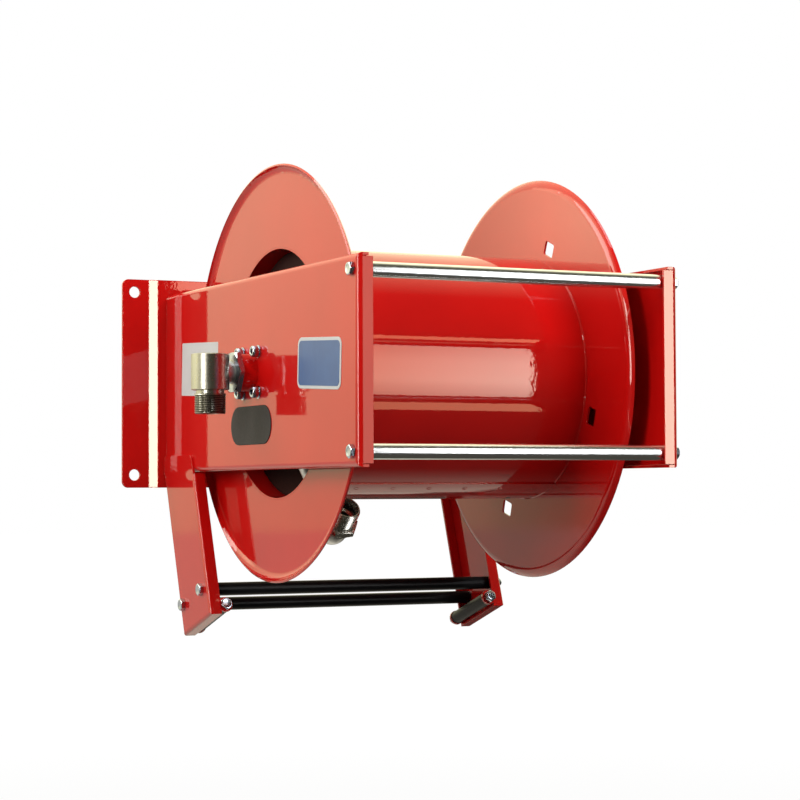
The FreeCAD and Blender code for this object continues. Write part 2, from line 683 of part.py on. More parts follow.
def end_plate():
    """The right dished plate that closes the drum, its flange turned inward."""
    rim = BARREL_INNER_RADIUS - SEAT_FIT
    depth = END_PLATE_SHEET + END_PLATE_FLANGE
    dish = rod(on_axis(END_PLATE_X), -ALONG_X, rim, depth)
    dish = dish.makeFillet(END_PLATE_BEND, edges_on(dish, x=END_PLATE_X))
    inside = rod(on_axis(END_PLATE_X - END_PLATE_SHEET), -ALONG_X, rim - END_PLATE_SHEET, depth)
    inside_edges = edges_on(inside, x=END_PLATE_X - END_PLATE_SHEET)
    inside = inside.makeFillet(END_PLATE_BEND - END_PLATE_SHEET, inside_edges)
    return dish.cut(inside)


def left_end_plate():
    """The left dish, bored for the shaft and cut away where the outlet pipe passes."""
    dish = mirrored(end_plate())
    dish = dish.cut(rod(on_axis(-END_PLATE_X - CUT), ALONG_X, SHAFT_RADIUS + SEAT_FIT,
                        END_PLATE_SHEET + 2 * CUT))
    return dish.cut(swept(pipe_path(), PIPE_RADIUS + PIPE_GAP))


def right_end_plate():
    return end_plate().cut(rod(on_axis(HUB_FACE_X - CUT), ALONG_X, HUB_RADIUS + SEAT_FIT,
                               END_PLATE_SHEET + 2 * CUT))


def left_hub():
    """A boss welded inside the left plate: the water shaft outside, the arbor's pilot inside."""
    start = on_axis(-HUB_FACE_X)
    hub = rod(start, ALONG_X, HUB_RADIUS, LEFT_HUB_LENGTH)
    hub = hub.cut(rod(start - ALONG_X * CUT, ALONG_X, SHAFT_RADIUS + SEAT_FIT, LEFT_HUB_SEAT + CUT))
    pilot = LEFT_HUB_SEAT + LEFT_HUB_WEB
    return hub.cut(rod(start + ALONG_X * pilot, ALONG_X, arbor_bush_radius() + SEAT_FIT,
                       LEFT_HUB_LENGTH - pilot + CUT))


def arbor_bush_radius():
    return ARBOR_RADIUS + RUNNING_FIT + ARBOR_BUSH_WALL


def arbor_pilot_bush():
    length = LEFT_HUB_LENGTH - LEFT_HUB_SEAT - LEFT_HUB_WEB
    start = on_axis(-HUB_FACE_X + LEFT_HUB_LENGTH - length)
    return ring(start, ALONG_X, arbor_bush_radius(), ARBOR_RADIUS + RUNNING_FIT, length)


def right_hub():
    """A boss through the right plate that runs on the arbor and carries the ratchet wheel."""
    start = HUB_FACE_X - RIGHT_HUB_LENGTH
    hub = rod(on_axis(start), ALONG_X, HUB_RADIUS, RATCHET_X - start)
    hub = hub.cut(rod(on_axis(start - CUT), ALONG_X, arbor_bush_radius() + SEAT_FIT,
                      RATCHET_X - start + 2 * CUT))
    for y, z in ratchet_screw_places():
        hub = hub.cut(rod(on_axis(RATCHET_X + CUT, y, z), -ALONG_X, M8_RADIUS / 2 + SEAT_FIT,
                          M8_HEAD_HEIGHT * 2 + CUT))
    return hub


def right_bush():
    start = HUB_FACE_X - RIGHT_HUB_LENGTH
    return ring(on_axis(start), ALONG_X, arbor_bush_radius(), ARBOR_RADIUS + RUNNING_FIT,
                RATCHET_X + RATCHET_THICKNESS - start)


# Water path


def bearing_body():
    """The right bearing before its bore: a square of screw lobes inside the plate, a boss through it."""
    half = FLANGE_HALF_SPACING
    reach = half + FLANGE_LOBE_RADIUS - FLANGE_WAIST
    body = block(on_axis(FLANGE_INNER_X, -reach, -half), on_axis(PLATE_INNER_X, reach, half))
    body = body.fuse(block(on_axis(FLANGE_INNER_X, -half, -reach), on_axis(PLATE_INNER_X, half, reach)))
    for y, z in flange_screw_places():
        body = body.fuse(rod(on_axis(FLANGE_INNER_X, y, z), ALONG_X, FLANGE_LOBE_RADIUS, FLANGE_THICKNESS))
    body = body.fuse(rod(on_axis(FLANGE_INNER_X), ALONG_X, BOSS_RADIUS, BOSS_FACE_X - FLANGE_INNER_X))
    for y, z in flange_screw_places():
        body = body.cut(rod(on_axis(FLANGE_INNER_X - CUT, y, z), ALONG_X, M8_RADIUS + SEAT_FIT,
                            FLANGE_THICKNESS + 2 * CUT))
    return body.removeSplitter()


def bearing_flange():
    return mirrored(bearing_body()).cut(rod(on_axis(-BOSS_FACE_X - CUT), ALONG_X,
                                            BUSH_OUTER_RADIUS + SEAT_FIT,
                                            BOSS_FACE_X - FLANGE_INNER_X + 2 * CUT))


def shaft_bush():
    return ring(on_axis(-BOSS_FACE_X), ALONG_X, BUSH_OUTER_RADIUS, SHAFT_RADIUS + RUNNING_FIT,
                BOSS_FACE_X - FLANGE_INNER_X)


def flange_screws(side):
    """Four socket head screws through a side plate into its bearing's lobes."""
    length = CAP_WASHER + SHEET + FLANGE_THICKNESS - CUT
    screws = []
    for y, z in flange_screw_places():
        seat = on_axis(side * (FRAME_HALF_WIDTH + CAP_WASHER), y, z)
        screws.append(cap_screw(seat, ALONG_X * -side, length))
    return group(screws)


def flange_washers(side):
    washers = []
    for y, z in flange_screw_places():
        washers.append(ring(on_axis(side * FRAME_HALF_WIDTH, y, z), ALONG_X * side, CAP_WASHER_RADIUS,
                            M8_HOLE_RADIUS, CAP_WASHER))
    return group(washers)


def water_shaft():
    """The hollow shaft: a spigot outside, then the journal, the tee and the hub seat."""
    inner_end = -HUB_FACE_X + LEFT_HUB_SEAT
    shaft = rod(on_axis(-NUT_OUTER_X), ALONG_X, SHAFT_RADIUS, inner_end + NUT_OUTER_X)
    shaft = shaft.fuse(rod(on_axis(-SPIGOT_END_X), ALONG_X, SPIGOT_RADIUS, SPIGOT_END_X - NUT_OUTER_X + CUT))
    for start, width, depth in swivel_grooves():
        shaft = shaft.cut(ring(on_axis(start), ALONG_X, SPIGOT_RADIUS + CUT, SPIGOT_RADIUS - depth, width))
    shaft = shaft.cut(rod(on_axis(-SPIGOT_END_X - CUT), ALONG_X, SHAFT_BORE_RADIUS,
                          SPIGOT_END_X + CUT - PIPE_X + SHAFT_BORE_RADIUS))
    return shaft.cut(rod(on_axis(-PIPE_X), away_from_axis(PIPE_START_ANGLE), SHAFT_BORE_RADIUS,
                         SHAFT_RADIUS + CUT))


def swivel_grooves():
    """Start, width and depth of the spigot's two grooves, for the seal and for the ring."""
    seal = (-SEAL_X, SEAL_WIDTH, SEAL_DEPTH)
    snap = (-SNAP_X - AXIAL_PLAY, SNAP_WIDTH + 2 * AXIAL_PLAY, SNAP_DEPTH)
    return (seal, snap)


def swivel_seal():
    return ring(on_axis(-SEAL_X), ALONG_X, SPIGOT_RADIUS, SPIGOT_RADIUS - SEAL_DEPTH, SEAL_WIDTH)


def swivel_snap_ring():
    """A wire ring held in the elbow's groove that keeps the elbow on the spigot."""
    outer = SPIGOT_RADIUS + RUNNING_FIT + SNAP_DEPTH
    inner = SPIGOT_RADIUS - SNAP_DEPTH + AXIAL_PLAY
    return ring(on_axis(-SNAP_X), ALONG_X, outer, inner, SNAP_WIDTH)


def shaft_nut():
    """The nut that holds the shaft in its bearing, one corner to the front."""
    nut = hexagon(on_axis(-NUT_INNER_X), -ALONG_X, SHAFT_NUT_FLATS, SHAFT_NUT_LENGTH)
    nut.rotate(on_axis(0), ALONG_X, 90)
    rounding = Part.makeCone(SHAFT_NUT_FLATS / 2, SHAFT_NUT_FLATS / 2 + 2 * SHAFT_NUT_LENGTH,
                             SHAFT_NUT_LENGTH, on_axis(-NUT_OUTER_X), ALONG_X)
    nut = nut.common(rounding)
    return nut.cut(rod(on_axis(-NUT_OUTER_X - CUT), ALONG_X, SHAFT_RADIUS + SEAT_FIT,
                       SHAFT_NUT_LENGTH + 2 * CUT))


def shaft_spacer():
    """A sleeve between the bearing and the outlet pipe's tee."""
    start = -FLANGE_INNER_X + AXIAL_PLAY
    end = -PIPE_X - PIPE_RADIUS - PIPE_GAP
    return ring(on_axis(start), ALONG_X, SPACER_RADIUS, SHAFT_RADIUS + SEAT_FIT, end - start)


def inlet_elbow():
    """The swivel elbow: an upright body bored from the side for the spigot, a male thread below."""
    body = rod(on_axis(-ELBOW_X, 0, -ELBOW_HALF_HEIGHT), ALONG_Z, ELBOW_RADIUS, 2 * ELBOW_HALF_HEIGHT)
    rims = edges_on(body, z=-ELBOW_HALF_HEIGHT) + edges_on(body, z=ELBOW_HALF_HEIGHT)
    body = body.makeChamfer(THREAD_CHAMFER / 2, rims)
    neck = rod(on_axis(-ELBOW_X, 0, -ELBOW_HALF_HEIGHT), -ALONG_Z, INLET_NECK_RADIUS,
               INLET_NECK_LENGTH + INLET_THREAD_LENGTH)
    thread = rod(on_axis(-ELBOW_X, 0, INLET_END_Z), ALONG_Z, INLET_THREAD_RADIUS, INLET_THREAD_LENGTH)
    thread = thread.makeChamfer(THREAD_CHAMFER, edges_on(thread, z=INLET_END_Z))
    elbow = body.fuse(neck).fuse(thread)
    elbow = elbow.cut(rod(on_axis(-ELBOW_X, 0, INLET_END_Z - CUT), ALONG_Z, ELBOW_BORE_RADIUS,
                          ELBOW_BORE_TOP - INLET_END_Z + CUT))
    elbow = elbow.cut(rod(on_axis(-SPIGOT_END_X - SPIGOT_FLOOR), ALONG_X, SPIGOT_RADIUS + RUNNING_FIT,
                          ELBOW_RADIUS))
    groove_radius = SPIGOT_RADIUS + RUNNING_FIT + SNAP_DEPTH + SEAT_FIT
    return elbow.cut(rod(on_axis(-SNAP_X), ALONG_X, groove_radius, SNAP_WIDTH))


def outlet_corner():
    """Where the centre lines of the pipe's way out and of the fitting would meet."""
    return on_axis(-OUTLET_X) + away_from_axis(OUTLET_ANGLE) * OUTLET_CORNER


def outlet_direction():
    """Along the hose as it leaves the fitting: forward and up."""
    turn = math.radians(OUTLET_RISE)
    return V(0, -math.cos(turn), math.sin(turn))


def outlet_mouth():
    return outlet_corner() + outlet_direction() * OUTLET_REACH


def fitting_end():
    """The end of the fitting that takes the pipe."""
    length = OUTLET_THREAD_LENGTH + OUTLET_HEX_LENGTH + OUTLET_COLLAR_LENGTH
    return outlet_mouth() - outlet_direction() * length


def pipe_path():
    """The outlet pipe's centre line: out of the shaft, a jog inboard, out of the barrel, up front."""
    near_axis = on_axis(-PIPE_X) + away_from_axis(PIPE_START_ANGLE) * (SHAFT_RADIUS - CUT)
    jog_from = on_axis(-PIPE_X) + away_from_axis(PIPE_START_ANGLE) * PIPE_JOG_FROM
    jog_to = on_axis(-OUTLET_X) + away_from_axis(OUTLET_ANGLE) * PIPE_JOG_TO
    end = fitting_end() + outlet_direction() * OUTLET_SOCKET
    return bent_line([near_axis, jog_from, jog_to, outlet_corner(), end],
                     [PIPE_JOG_RADIUS, PIPE_JOG_RADIUS, OUTLET_BEND_RADIUS])


def bent_line(points, radii):
    """A wire through points, with a bend of its own radius at each point between the ends."""
    edges = []
    last = points[0]
    for number, radius in enumerate(radii):
        corner = points[number + 1]
        before = corner - points[number]
        before.normalize()
        after = points[number + 2] - corner
        after.normalize()
        turn = before.getAngle(after)
        reach = radius * math.tan(turn / 2)
        inward = after - before
        inward.normalize()
        middle = corner + inward * (radius / math.cos(turn / 2) - radius)
        edges.append(Part.makeLine(last, corner - before * reach))
        edges.append(Part.Arc(corner - before * reach, middle, corner + after * reach).toShape())
        last = corner + after * reach
    edges.append(Part.makeLine(last, points[-1]))
    return Part.Wire(edges)


def swept(path, radius):
    """A solid of round section along a wire."""
    first = path.Edges[0]
    start = first.Vertexes[0].Point
    direction = first.tangentAt(first.FirstParameter)
    section = Part.Wire(Part.makeCircle(radius, start, direction))
    return path.makePipeShell([section], True, False)


def outlet_pipe():
    path = pipe_path()
    pipe = swept(path, PIPE_RADIUS).cut(swept(path, PIPE_RADIUS - PIPE_WALL))
    return pipe.cut(rod(on_axis(-PIPE_X - 2 * PIPE_RADIUS), ALONG_X, SHAFT_RADIUS + SEAT_FIT,
                        4 * PIPE_RADIUS))


def outlet_fitting():
    """A collar over the pipe's end, a hexagon and a male thread for the hose."""
    out = outlet_direction()
    back = fitting_end()
    hex_start = back + out * OUTLET_COLLAR_LENGTH
    thread_start = hex_start + out * OUTLET_HEX_LENGTH
    straight = OUTLET_THREAD_LENGTH - THREAD_CHAMFER
    body = rod(back, out, OUTLET_COLLAR_RADIUS, OUTLET_COLLAR_LENGTH)
    body = body.fuse(hexagon(hex_start, out, OUTLET_HEX_FLATS, OUTLET_HEX_LENGTH))
    body = body.fuse(rod(thread_start, out, OUTLET_THREAD_RADIUS, straight))
    body = body.fuse(Part.makeCone(OUTLET_THREAD_RADIUS, OUTLET_THREAD_RADIUS - THREAD_CHAMFER,
                                   THREAD_CHAMFER, thread_start + out * straight, out))
    body = body.cut(rod(back - out * CUT, out, OUTLET_BORE_RADIUS, OUTLET_REACH))
    return body.cut(rod(back - out * CUT, out, PIPE_RADIUS + SEAT_FIT, OUTLET_SOCKET + CUT))


# Spring motor


def spring_arbor():
    """The fixed spindle: round inside the drum, squared where the right bearing flange holds it."""
    start = -HUB_FACE_X + LEFT_HUB_SEAT + LEFT_HUB_WEB + AXIAL_PLAY
    spindle = rod(on_axis(start), ALONG_X, ARBOR_RADIUS, FLANGE_INNER_X - start)
    half = ARBOR_SQUARE / 2
    square = block(on_axis(FLANGE_INNER_X - CUT, -half, -half), on_axis(ARBOR_END_X, half, half))
    return spindle.fuse(square)


def arbor_flange():
    """The right flange: the same casting with a square hole that holds the arbor."""
    half = ARBOR_SQUARE / 2 + SEAT_FIT
    return bearing_body().cut(block(on_axis(FLANGE_INNER_X - CUT, -half, -half),
                                    on_axis(BOSS_FACE_X + CUT, half, half)))


def case_start(number):
    """Where each spring case begins along the axis."""
    first = -(2 * SPRING_CASE_LENGTH + SPRING_CASE_GAP) / 2
    return first + number * (SPRING_CASE_LENGTH + SPRING_CASE_GAP)


def spring_case(number):
    """A pressed cup welded inside the drum, its closed end to the right."""
    start = case_start(number)
    rim = BARREL_INNER_RADIUS - SEAT_FIT
    cup = rod(on_axis(start), ALONG_X, rim, SPRING_CASE_LENGTH)
    cup = cup.cut(rod(on_axis(start - CUT), ALONG_X, rim - SPRING_CASE_SHEET,
                      SPRING_CASE_LENGTH - SPRING_CASE_SHEET + CUT))
    return cup.cut(rod(on_axis(start), ALONG_X, SPRING_CASE_HOLE, SPRING_CASE_LENGTH + CUT))


def spring_cover(number):
    start = case_start(number)
    outer = BARREL_INNER_RADIUS - SPRING_CASE_SHEET - 2 * SEAT_FIT
    return ring(on_axis(start), ALONG_X, outer, SPRING_CASE_HOLE, SPRING_CASE_SHEET)


def spiral_spring(number):
    """A flat strip wound from the arbor out to the case, in half turns about two centres."""
    start_x = case_start(number) + (SPRING_CASE_LENGTH - SPRING_WIDTH) / 2
    outer_end = BARREL_INNER_RADIUS - SPRING_CASE_SHEET - SPRING_LIP_GAP - SPRING_STRIP
    half_turns = 2 * SPRING_TURNS
    growth = (outer_end - SPRING_INNER_RADIUS) / half_turns
    inner_edges = []
    outer_edges = []
    for step in range(half_turns):
        side = 1 if step % 2 == 0 else -1
        radius = SPRING_INNER_RADIUS + growth * (step + 0.5)
        centre_y = side * growth / 2
        for edges, reach in ((inner_edges, radius), (outer_edges, radius + SPRING_STRIP)):
            low = on_axis(start_x, centre_y - reach, 0)
            high = on_axis(start_x, centre_y + reach, 0)
            middle = on_axis(start_x, centre_y, side * reach)
            ends = (low, high) if side > 0 else (high, low)
            edges.append(Part.Arc(ends[0], middle, ends[1]).toShape())
    start_cap = Part.makeLine(inner_edges[0].Vertexes[0].Point, outer_edges[0].Vertexes[0].Point)
    end_cap = Part.makeLine(inner_edges[-1].Vertexes[-1].Point, outer_edges[-1].Vertexes[-1].Point)
    outline = Part.Wire(Part.__sortEdges__(inner_edges + outer_edges + [start_cap, end_cap]))
    return Part.Face(outline).extrude(ALONG_X * SPRING_WIDTH)


# Ratchet


def ratchet_screw_places():
    places = []
    for step in range(4):
        turn = math.radians(45 + 90 * step)
        places.append((RATCHET_SCREW_CIRCLE * math.cos(turn), RATCHET_SCREW_CIRCLE * math.sin(turn)))
    return places


def ratchet_wheel():
    """A flat wheel with wide notches, so that the pawl can tip either way in each."""
    wheel = rod(on_axis(RATCHET_X), ALONG_X, RATCHET_RADIUS, RATCHET_THICKNESS)
    half = RATCHET_NOTCH_WIDTH / 2
    floor = RATCHET_RADIUS - RATCHET_NOTCH_DEPTH
    for number in range(RATCHET_TEETH):
        notch = block(on_axis(RATCHET_X - CUT, -half, floor),
                      on_axis(RATCHET_X + RATCHET_THICKNESS + CUT, half, RATCHET_RADIUS + CUT))
        notch.rotate(on_axis(0), ALONG_X, number * 360 / RATCHET_TEETH)
        wheel = wheel.cut(notch)
    wheel = wheel.cut(rod(on_axis(RATCHET_X - CUT), ALONG_X, arbor_bush_radius() + SEAT_FIT,
                          RATCHET_THICKNESS + 2 * CUT))
    for y, z in ratchet_screw_places():
        wheel = wheel.cut(rod(on_axis(RATCHET_X - CUT, y, z), ALONG_X, M8_RADIUS / 2 + SEAT_FIT,
                              RATCHET_THICKNESS + 2 * CUT))
    return wheel


def ratchet_screws():
    """Small screws that hold the ratchet wheel on its hub."""
    screws = []
    head_x = RATCHET_X + RATCHET_THICKNESS
    for y, z in ratchet_screw_places():
        head = rod(on_axis(head_x, y, z), ALONG_X, M8_RADIUS, M8_RADIUS)
        shank = rod(on_axis(head_x, y, z), -ALONG_X, M8_RADIUS / 2, RATCHET_THICKNESS + 2 * M8_HEAD_HEIGHT)
        screws.append(head.fuse(shank))
    return group(screws)


def pawl_start_x():
    return RATCHET_X + RATCHET_THICKNESS / 2 - PAWL_THICKNESS / 2


def pawl():
    """A finger hanging from its pin into a notch of the ratchet wheel."""
    start = pawl_start_x()
    hub = rod(on_axis(start, 0, PAWL_PIVOT_HEIGHT), ALONG_X, PAWL_HUB_RADIUS, PAWL_THICKNESS)
    tip_z = PAWL_PIVOT_HEIGHT - PAWL_LENGTH + PAWL_TIP_RADIUS
    tip = rod(on_axis(start, 0, tip_z), ALONG_X, PAWL_TIP_RADIUS, PAWL_THICKNESS)
    finger = block(on_axis(start, -PAWL_TIP_RADIUS, tip_z),
                   on_axis(start + PAWL_THICKNESS, PAWL_TIP_RADIUS, PAWL_PIVOT_HEIGHT))
    body = hub.fuse(tip).fuse(finger)
    return body.cut(rod(on_axis(start - CUT, 0, PAWL_PIVOT_HEIGHT), ALONG_X, M8_RADIUS + RUNNING_FIT,
                        PAWL_THICKNESS + 2 * CUT)).removeSplitter()


def pawl_pin():
    """A headed pin from the side plate, with its nut outside."""
    head_x = pawl_start_x() - AXIAL_PLAY
    length = FRAME_HALF_WIDTH - head_x + M8_NUT_HEIGHT + M8_NUT_COLLAR + M8_POINT
    head = rod(on_axis(head_x - M8_POINT, 0, PAWL_PIVOT_HEIGHT), ALONG_X, M8_FLATS / 2, M8_POINT)
    pin = head.fuse(rod(on_axis(head_x, 0, PAWL_PIVOT_HEIGHT), ALONG_X, M8_RADIUS, length))
    collar_x = pawl_start_x() + PAWL_THICKNESS + pawl_spring_width() + 2 * AXIAL_PLAY
    return pin.fuse(rod(on_axis(collar_x, 0, PAWL_PIVOT_HEIGHT), ALONG_X, M8_FLATS / 2,
                        PLATE_INNER_X - collar_x))


def pawl_nut():
    return lock_nut(on_axis(FRAME_HALF_WIDTH, 0, PAWL_PIVOT_HEIGHT), ALONG_X)


def pawl_spring_width():
    return 3 * PAWL_SPRING_WIRE


def pawl_spring():
    """The centring spring beside the pawl: three turns of wire and a leg down to its finger."""
    start = pawl_start_x() + PAWL_THICKNESS
    inner = M8_RADIUS + AXIAL_PLAY
    coil = ring(on_axis(start, 0, PAWL_PIVOT_HEIGHT), ALONG_X, inner + PAWL_SPRING_WIRE, inner,
                pawl_spring_width())
    leg = rod(on_axis(start + PAWL_SPRING_WIRE / 2, inner + PAWL_SPRING_WIRE / 2, PAWL_PIVOT_HEIGHT),
              -ALONG_Z, PAWL_SPRING_WIRE / 2, PAWL_SPRING_LEG)
    return coil.fuse(leg)


def all_parts():
    """Every piece by the name of its file."""
    parts = {
        "wall_plate": wall_plate(),
        "left_side_plate": side_plate(True),
        "right_side_plate": right_side_plate(),
        "window_cover": window_cover(),
        "upper_tie_rod": tie_rod(1),
        "lower_tie_rod": tie_rod(-1),
        "tie_rod_plugs": tie_rod_plugs(),
        "tie_rod_bolts": tie_rod_bolts(),
        "left_guide_arm": guide_arm(),
        "right_guide_arm": mirrored(guide_arm()),
        "front_guide_roller": long_roller(FRONT_ROLLER_AT),
        "rear_guide_roller": long_roller(REAR_ROLLER_AT),
        "front_roller_axle": long_axle(FRONT_ROLLER_AT),
        "rear_roller_axle": long_axle(REAR_ROLLER_AT),
        "roller_washers": roller_washers(),
        "left_end_roller": end_roller(-1),
        "right_end_roller": end_roller(1),
        "left_end_roller_axle": end_axle(-1),
        "right_end_roller_axle": end_axle(1),
        "roller_axle_nuts": roller_axle_nuts(),
        "left_disc": mirrored(disc()),
        "right_disc": right_disc(),
        "drum_barrel": drum_barrel(),
        "left_end_plate": left_end_plate(),
        "right_end_plate": right_end_plate(),
        "left_hub": left_hub(),
        "right_hub": right_hub(),
        "arbor_pilot_bush": arbor_pilot_bush(),
        "right_bush": right_bush(),
        "bearing_flange": bearing_flange(),
        "shaft_bush": shaft_bush(),
        "bearing_flange_screws": flange_screws(-1),
        "bearing_flange_washers": flange_washers(-1),
        "water_shaft": water_shaft(),
        "shaft_nut": shaft_nut(),
        "shaft_spacer": shaft_spacer(),
        "swivel_seal": swivel_seal(),
        "swivel_snap_ring": swivel_snap_ring(),
        "inlet_elbow": inlet_elbow(),
        "outlet_pipe": outlet_pipe(),
        "outlet_fitting": outlet_fitting(),
        "spring_arbor": spring_arbor(),
        "arbor_flange": arbor_flange(),
        "arbor_flange_screws": flange_screws(1),
        "arbor_flange_washers": flange_washers(1),
        "ratchet_wheel": ratchet_wheel(),
        "ratchet_screws": ratchet_screws(),
        "pawl": pawl(),
        "pawl_pin": pawl_pin(),
        "pawl_nut": pawl_nut(),
        "pawl_spring": pawl_spring(),
    }
    for number in (0, 1):
        name = ("left", "right")[number]
        parts[name + "_spring_case"] = spring_case(number)
        parts[name + "_spring_cover"] = spring_cover(number)
        parts[name + "_spiral_spring"] = spiral_spring(number)
    return parts


os.makedirs("parts", exist_ok=True)
for part_name, part_shape in all_parts().items():
    part_shape.exportStep("parts/" + part_name + ".step")
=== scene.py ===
import json
import math

import bmesh
import bpy
from mathutils import Matrix, Vector

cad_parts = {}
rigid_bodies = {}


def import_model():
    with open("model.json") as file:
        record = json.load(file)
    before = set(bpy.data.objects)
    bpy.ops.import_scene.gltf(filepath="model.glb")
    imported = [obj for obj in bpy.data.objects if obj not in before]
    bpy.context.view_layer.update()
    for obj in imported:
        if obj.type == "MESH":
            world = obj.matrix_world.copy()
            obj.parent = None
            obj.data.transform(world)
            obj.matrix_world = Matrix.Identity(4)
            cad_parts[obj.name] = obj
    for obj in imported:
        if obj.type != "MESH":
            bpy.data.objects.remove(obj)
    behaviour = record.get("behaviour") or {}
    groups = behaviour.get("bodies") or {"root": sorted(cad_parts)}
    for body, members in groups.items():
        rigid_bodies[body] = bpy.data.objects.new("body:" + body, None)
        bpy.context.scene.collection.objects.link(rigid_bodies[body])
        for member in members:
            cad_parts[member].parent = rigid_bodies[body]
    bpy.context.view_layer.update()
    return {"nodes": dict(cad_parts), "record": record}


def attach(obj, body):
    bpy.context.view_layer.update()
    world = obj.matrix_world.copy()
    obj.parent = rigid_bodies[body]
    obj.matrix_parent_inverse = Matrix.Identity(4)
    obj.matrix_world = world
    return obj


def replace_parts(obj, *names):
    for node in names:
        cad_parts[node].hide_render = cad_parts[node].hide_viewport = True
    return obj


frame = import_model()
nodes = frame["nodes"]

# Lengths are in metres, in the shared frame: x runs to the right, y into the wall and z up. The origin
# is on the wall, level with the drum's axis and midway between the side plates.

ALONG_X = Vector((1.0, 0.0, 0.0))
ALONG_Y = Vector((0.0, 1.0, 0.0))
ALONG_Z = Vector((0.0, 0.0, 1.0))

# Frame of the reel
AXIS_Y = -0.283                 # the drum's axis
PLATE_X = 0.196                 # outer faces of the side plates
TIE_Y = -0.5555
TIE_HEIGHT = 0.0945
TIE_BOLT_LENGTH = 0.023
FLANGE_SPACING = 0.023          # half the spacing of the flanges' screws
FLANGE_WASHER = 0.0013
FLANGE_SCREW_LENGTH = 0.0133
PAWL_PIN_HEIGHT = 0.095

# Hose guide, drawn upright with its distances from the drum's axis and then tilted
GUIDE_TILT = math.radians(19.0)
ARM_OUTER_X = 0.199
ARM_FRONT = 0.2037
ARM_REAR = 0.2977
LONG_ROLLER_PLACES = {"front": 0.222, "rear": 0.2854}
LONG_ROLLER_LEVEL = -0.1902
END_ROLLER_X = 0.1782
END_ROLLER_LEVEL = -0.2146
LONG_BOLT_END = 0.010           # how far a long roller's bolt stands out of the right arm
END_BOLT_LENGTH = 0.104

# Fasteners
HEX_FLATS = 0.013
HEX_HEAD_HEIGHT = 0.0053
WASHER_FACE = 0.0004
WASHER_FACE_RADIUS = 0.0061
BOLT_RADIUS = 0.004
BOLT_TIP_RADIUS = 0.0032
NUT_BORE_RADIUS = 0.00402
CAP_HEAD_RADIUS = 0.0065
CAP_HEAD_HEIGHT = 0.008
CAP_SOCKET_DEPTH = 0.004
CAP_SOCKET_FLATS = 0.006
KNURL_DEPTH = 0.00025
KNURLS = 36

# Threads
LEAD_IN = 0.0015                # chamfer at a thread's end
INLET_CREST = 0.018
INLET_PITCH = 0.002
INLET_THREAD_LENGTH = 0.023
OUTLET_CREST = 0.0166
OUTLET_PITCH = 0.00231
OUTLET_THREAD_LENGTH = 0.022

# Inlet elbow, with heights from its middle
ELBOW_X = -0.246
ELBOW_RADIUS = 0.0217
ELBOW_HALF_HEIGHT = 0.0205
ELBOW_NECK_RADIUS = 0.016
ELBOW_NECK_FOOT = -0.0245
ELBOW_FOOT = -0.0475
ELBOW_BORE_RADIUS = 0.0095
ELBOW_BORE_TOP = 0.008
SHAFT_BORE_START = -0.241
SHAFT_BORE_RADIUS = 0.01305
SHAFT_BORE_LENGTH = 0.03

# Outlet fitting, with distances back from its mouth
OUTLET_X = -0.141
OUTLET_RISE = math.radians(43.0)
CORNER_ANGLE = math.radians(25.7)    # of the pipe's last bend, from straight down
CORNER_RADIUS = 0.2161               # of the same bend, from the drum's axis
CORNER_TO_MOUTH = 0.0617
OUTLET_HEX_FLATS = 0.038
OUTLET_HEX_START = -0.030
OUTLET_COLLAR_START = -0.034
OUTLET_COLLAR_RADIUS = 0.0165
OUTLET_PIPE_RADIUS = 0.01347
OUTLET_PIPE_STOP = -0.026
OUTLET_BORE_RADIUS = 0.011
OUTLET_MOUTH_RADIUS = 0.0141
OUTLET_MOUTH_DEPTH = 0.016

# Drum details
BARREL_LAP_RADIUS = 0.1465
WELD_ANGLE = math.radians(65.0)      # of the welds' row, from straight ahead and downward
WELD_SPACING = 0.0465
WELDS_EACH_SIDE = 3
WELD_SINK = 0.0004

# Studio
FLOOR_Z = -0.75
PANEL_REACH = 1.2               # from the drum's axis to the panels that it mirrors
PANEL_LEFT = 0.36
PANEL_COLOUR = (1.0, 0.97, 0.76)
FLOOR_COLOUR = (0.20, 0.20, 0.20)
# colour of the floor's painted reflection, a glow seen only by glossy rays
FLOOR_PAINTED_REFLECTION_COLOUR = (1.0, 0.93, 0.76)
BACKDROP_COLOUR = (1.0, 0.95, 0.62)
WHITE = (1.0, 1.0, 1.0)

# Camera
CAMERA_PLACE = Vector((-1.1776, -2.6467, -0.1374))
CAMERA_YAW = math.radians(26.36)
CAMERA_PITCH = math.radians(2.37)
CAMERA_ROLL = math.radians(-0.23)
SENSOR_WIDTH = 36.0             # millimetres, as the lens
LENS = 100.76

SMOOTH_ANGLE = math.radians(35.0)
NO_STRETCH = (1.0, 1.0, 1.0)


# Shader helpers


def new_material(name):
    material = bpy.data.materials.new(name)
    material.use_nodes = True
    tree = material.node_tree
    return material, tree, tree.nodes["Principled BSDF"]


def add_noise(tree, scale, detail, stretch=NO_STRETCH):
    """A noise texture in object space, which is the shared frame in metres."""
    coords = tree.nodes.new("ShaderNodeTexCoord")
    mapping = tree.nodes.new("ShaderNodeMapping")
    mapping.inputs["Scale"].default_value = stretch
    noise = tree.nodes.new("ShaderNodeTexNoise")
    noise.inputs["Scale"].default_value = scale
    noise.inputs["Detail"].default_value = detail
    tree.links.new(coords.outputs["Object"], mapping.inputs["Vector"])
    tree.links.new(mapping.outputs["Vector"], noise.inputs["Vector"])
    return noise.outputs["Fac"]


def add_ramp(tree, source, low, high, low_value=0.0, high_value=1.0):
    """Maps a value that runs between two places to one that runs between two values."""
    ramp = tree.nodes.new("ShaderNodeMapRange")
    ramp.inputs["From Min"].default_value = low
    ramp.inputs["From Max"].default_value = high
    ramp.inputs["To Min"].default_value = low_value
    ramp.inputs["To Max"].default_value = high_value
    tree.links.new(source, ramp.inputs["Value"])
    return ramp.outputs["Result"]


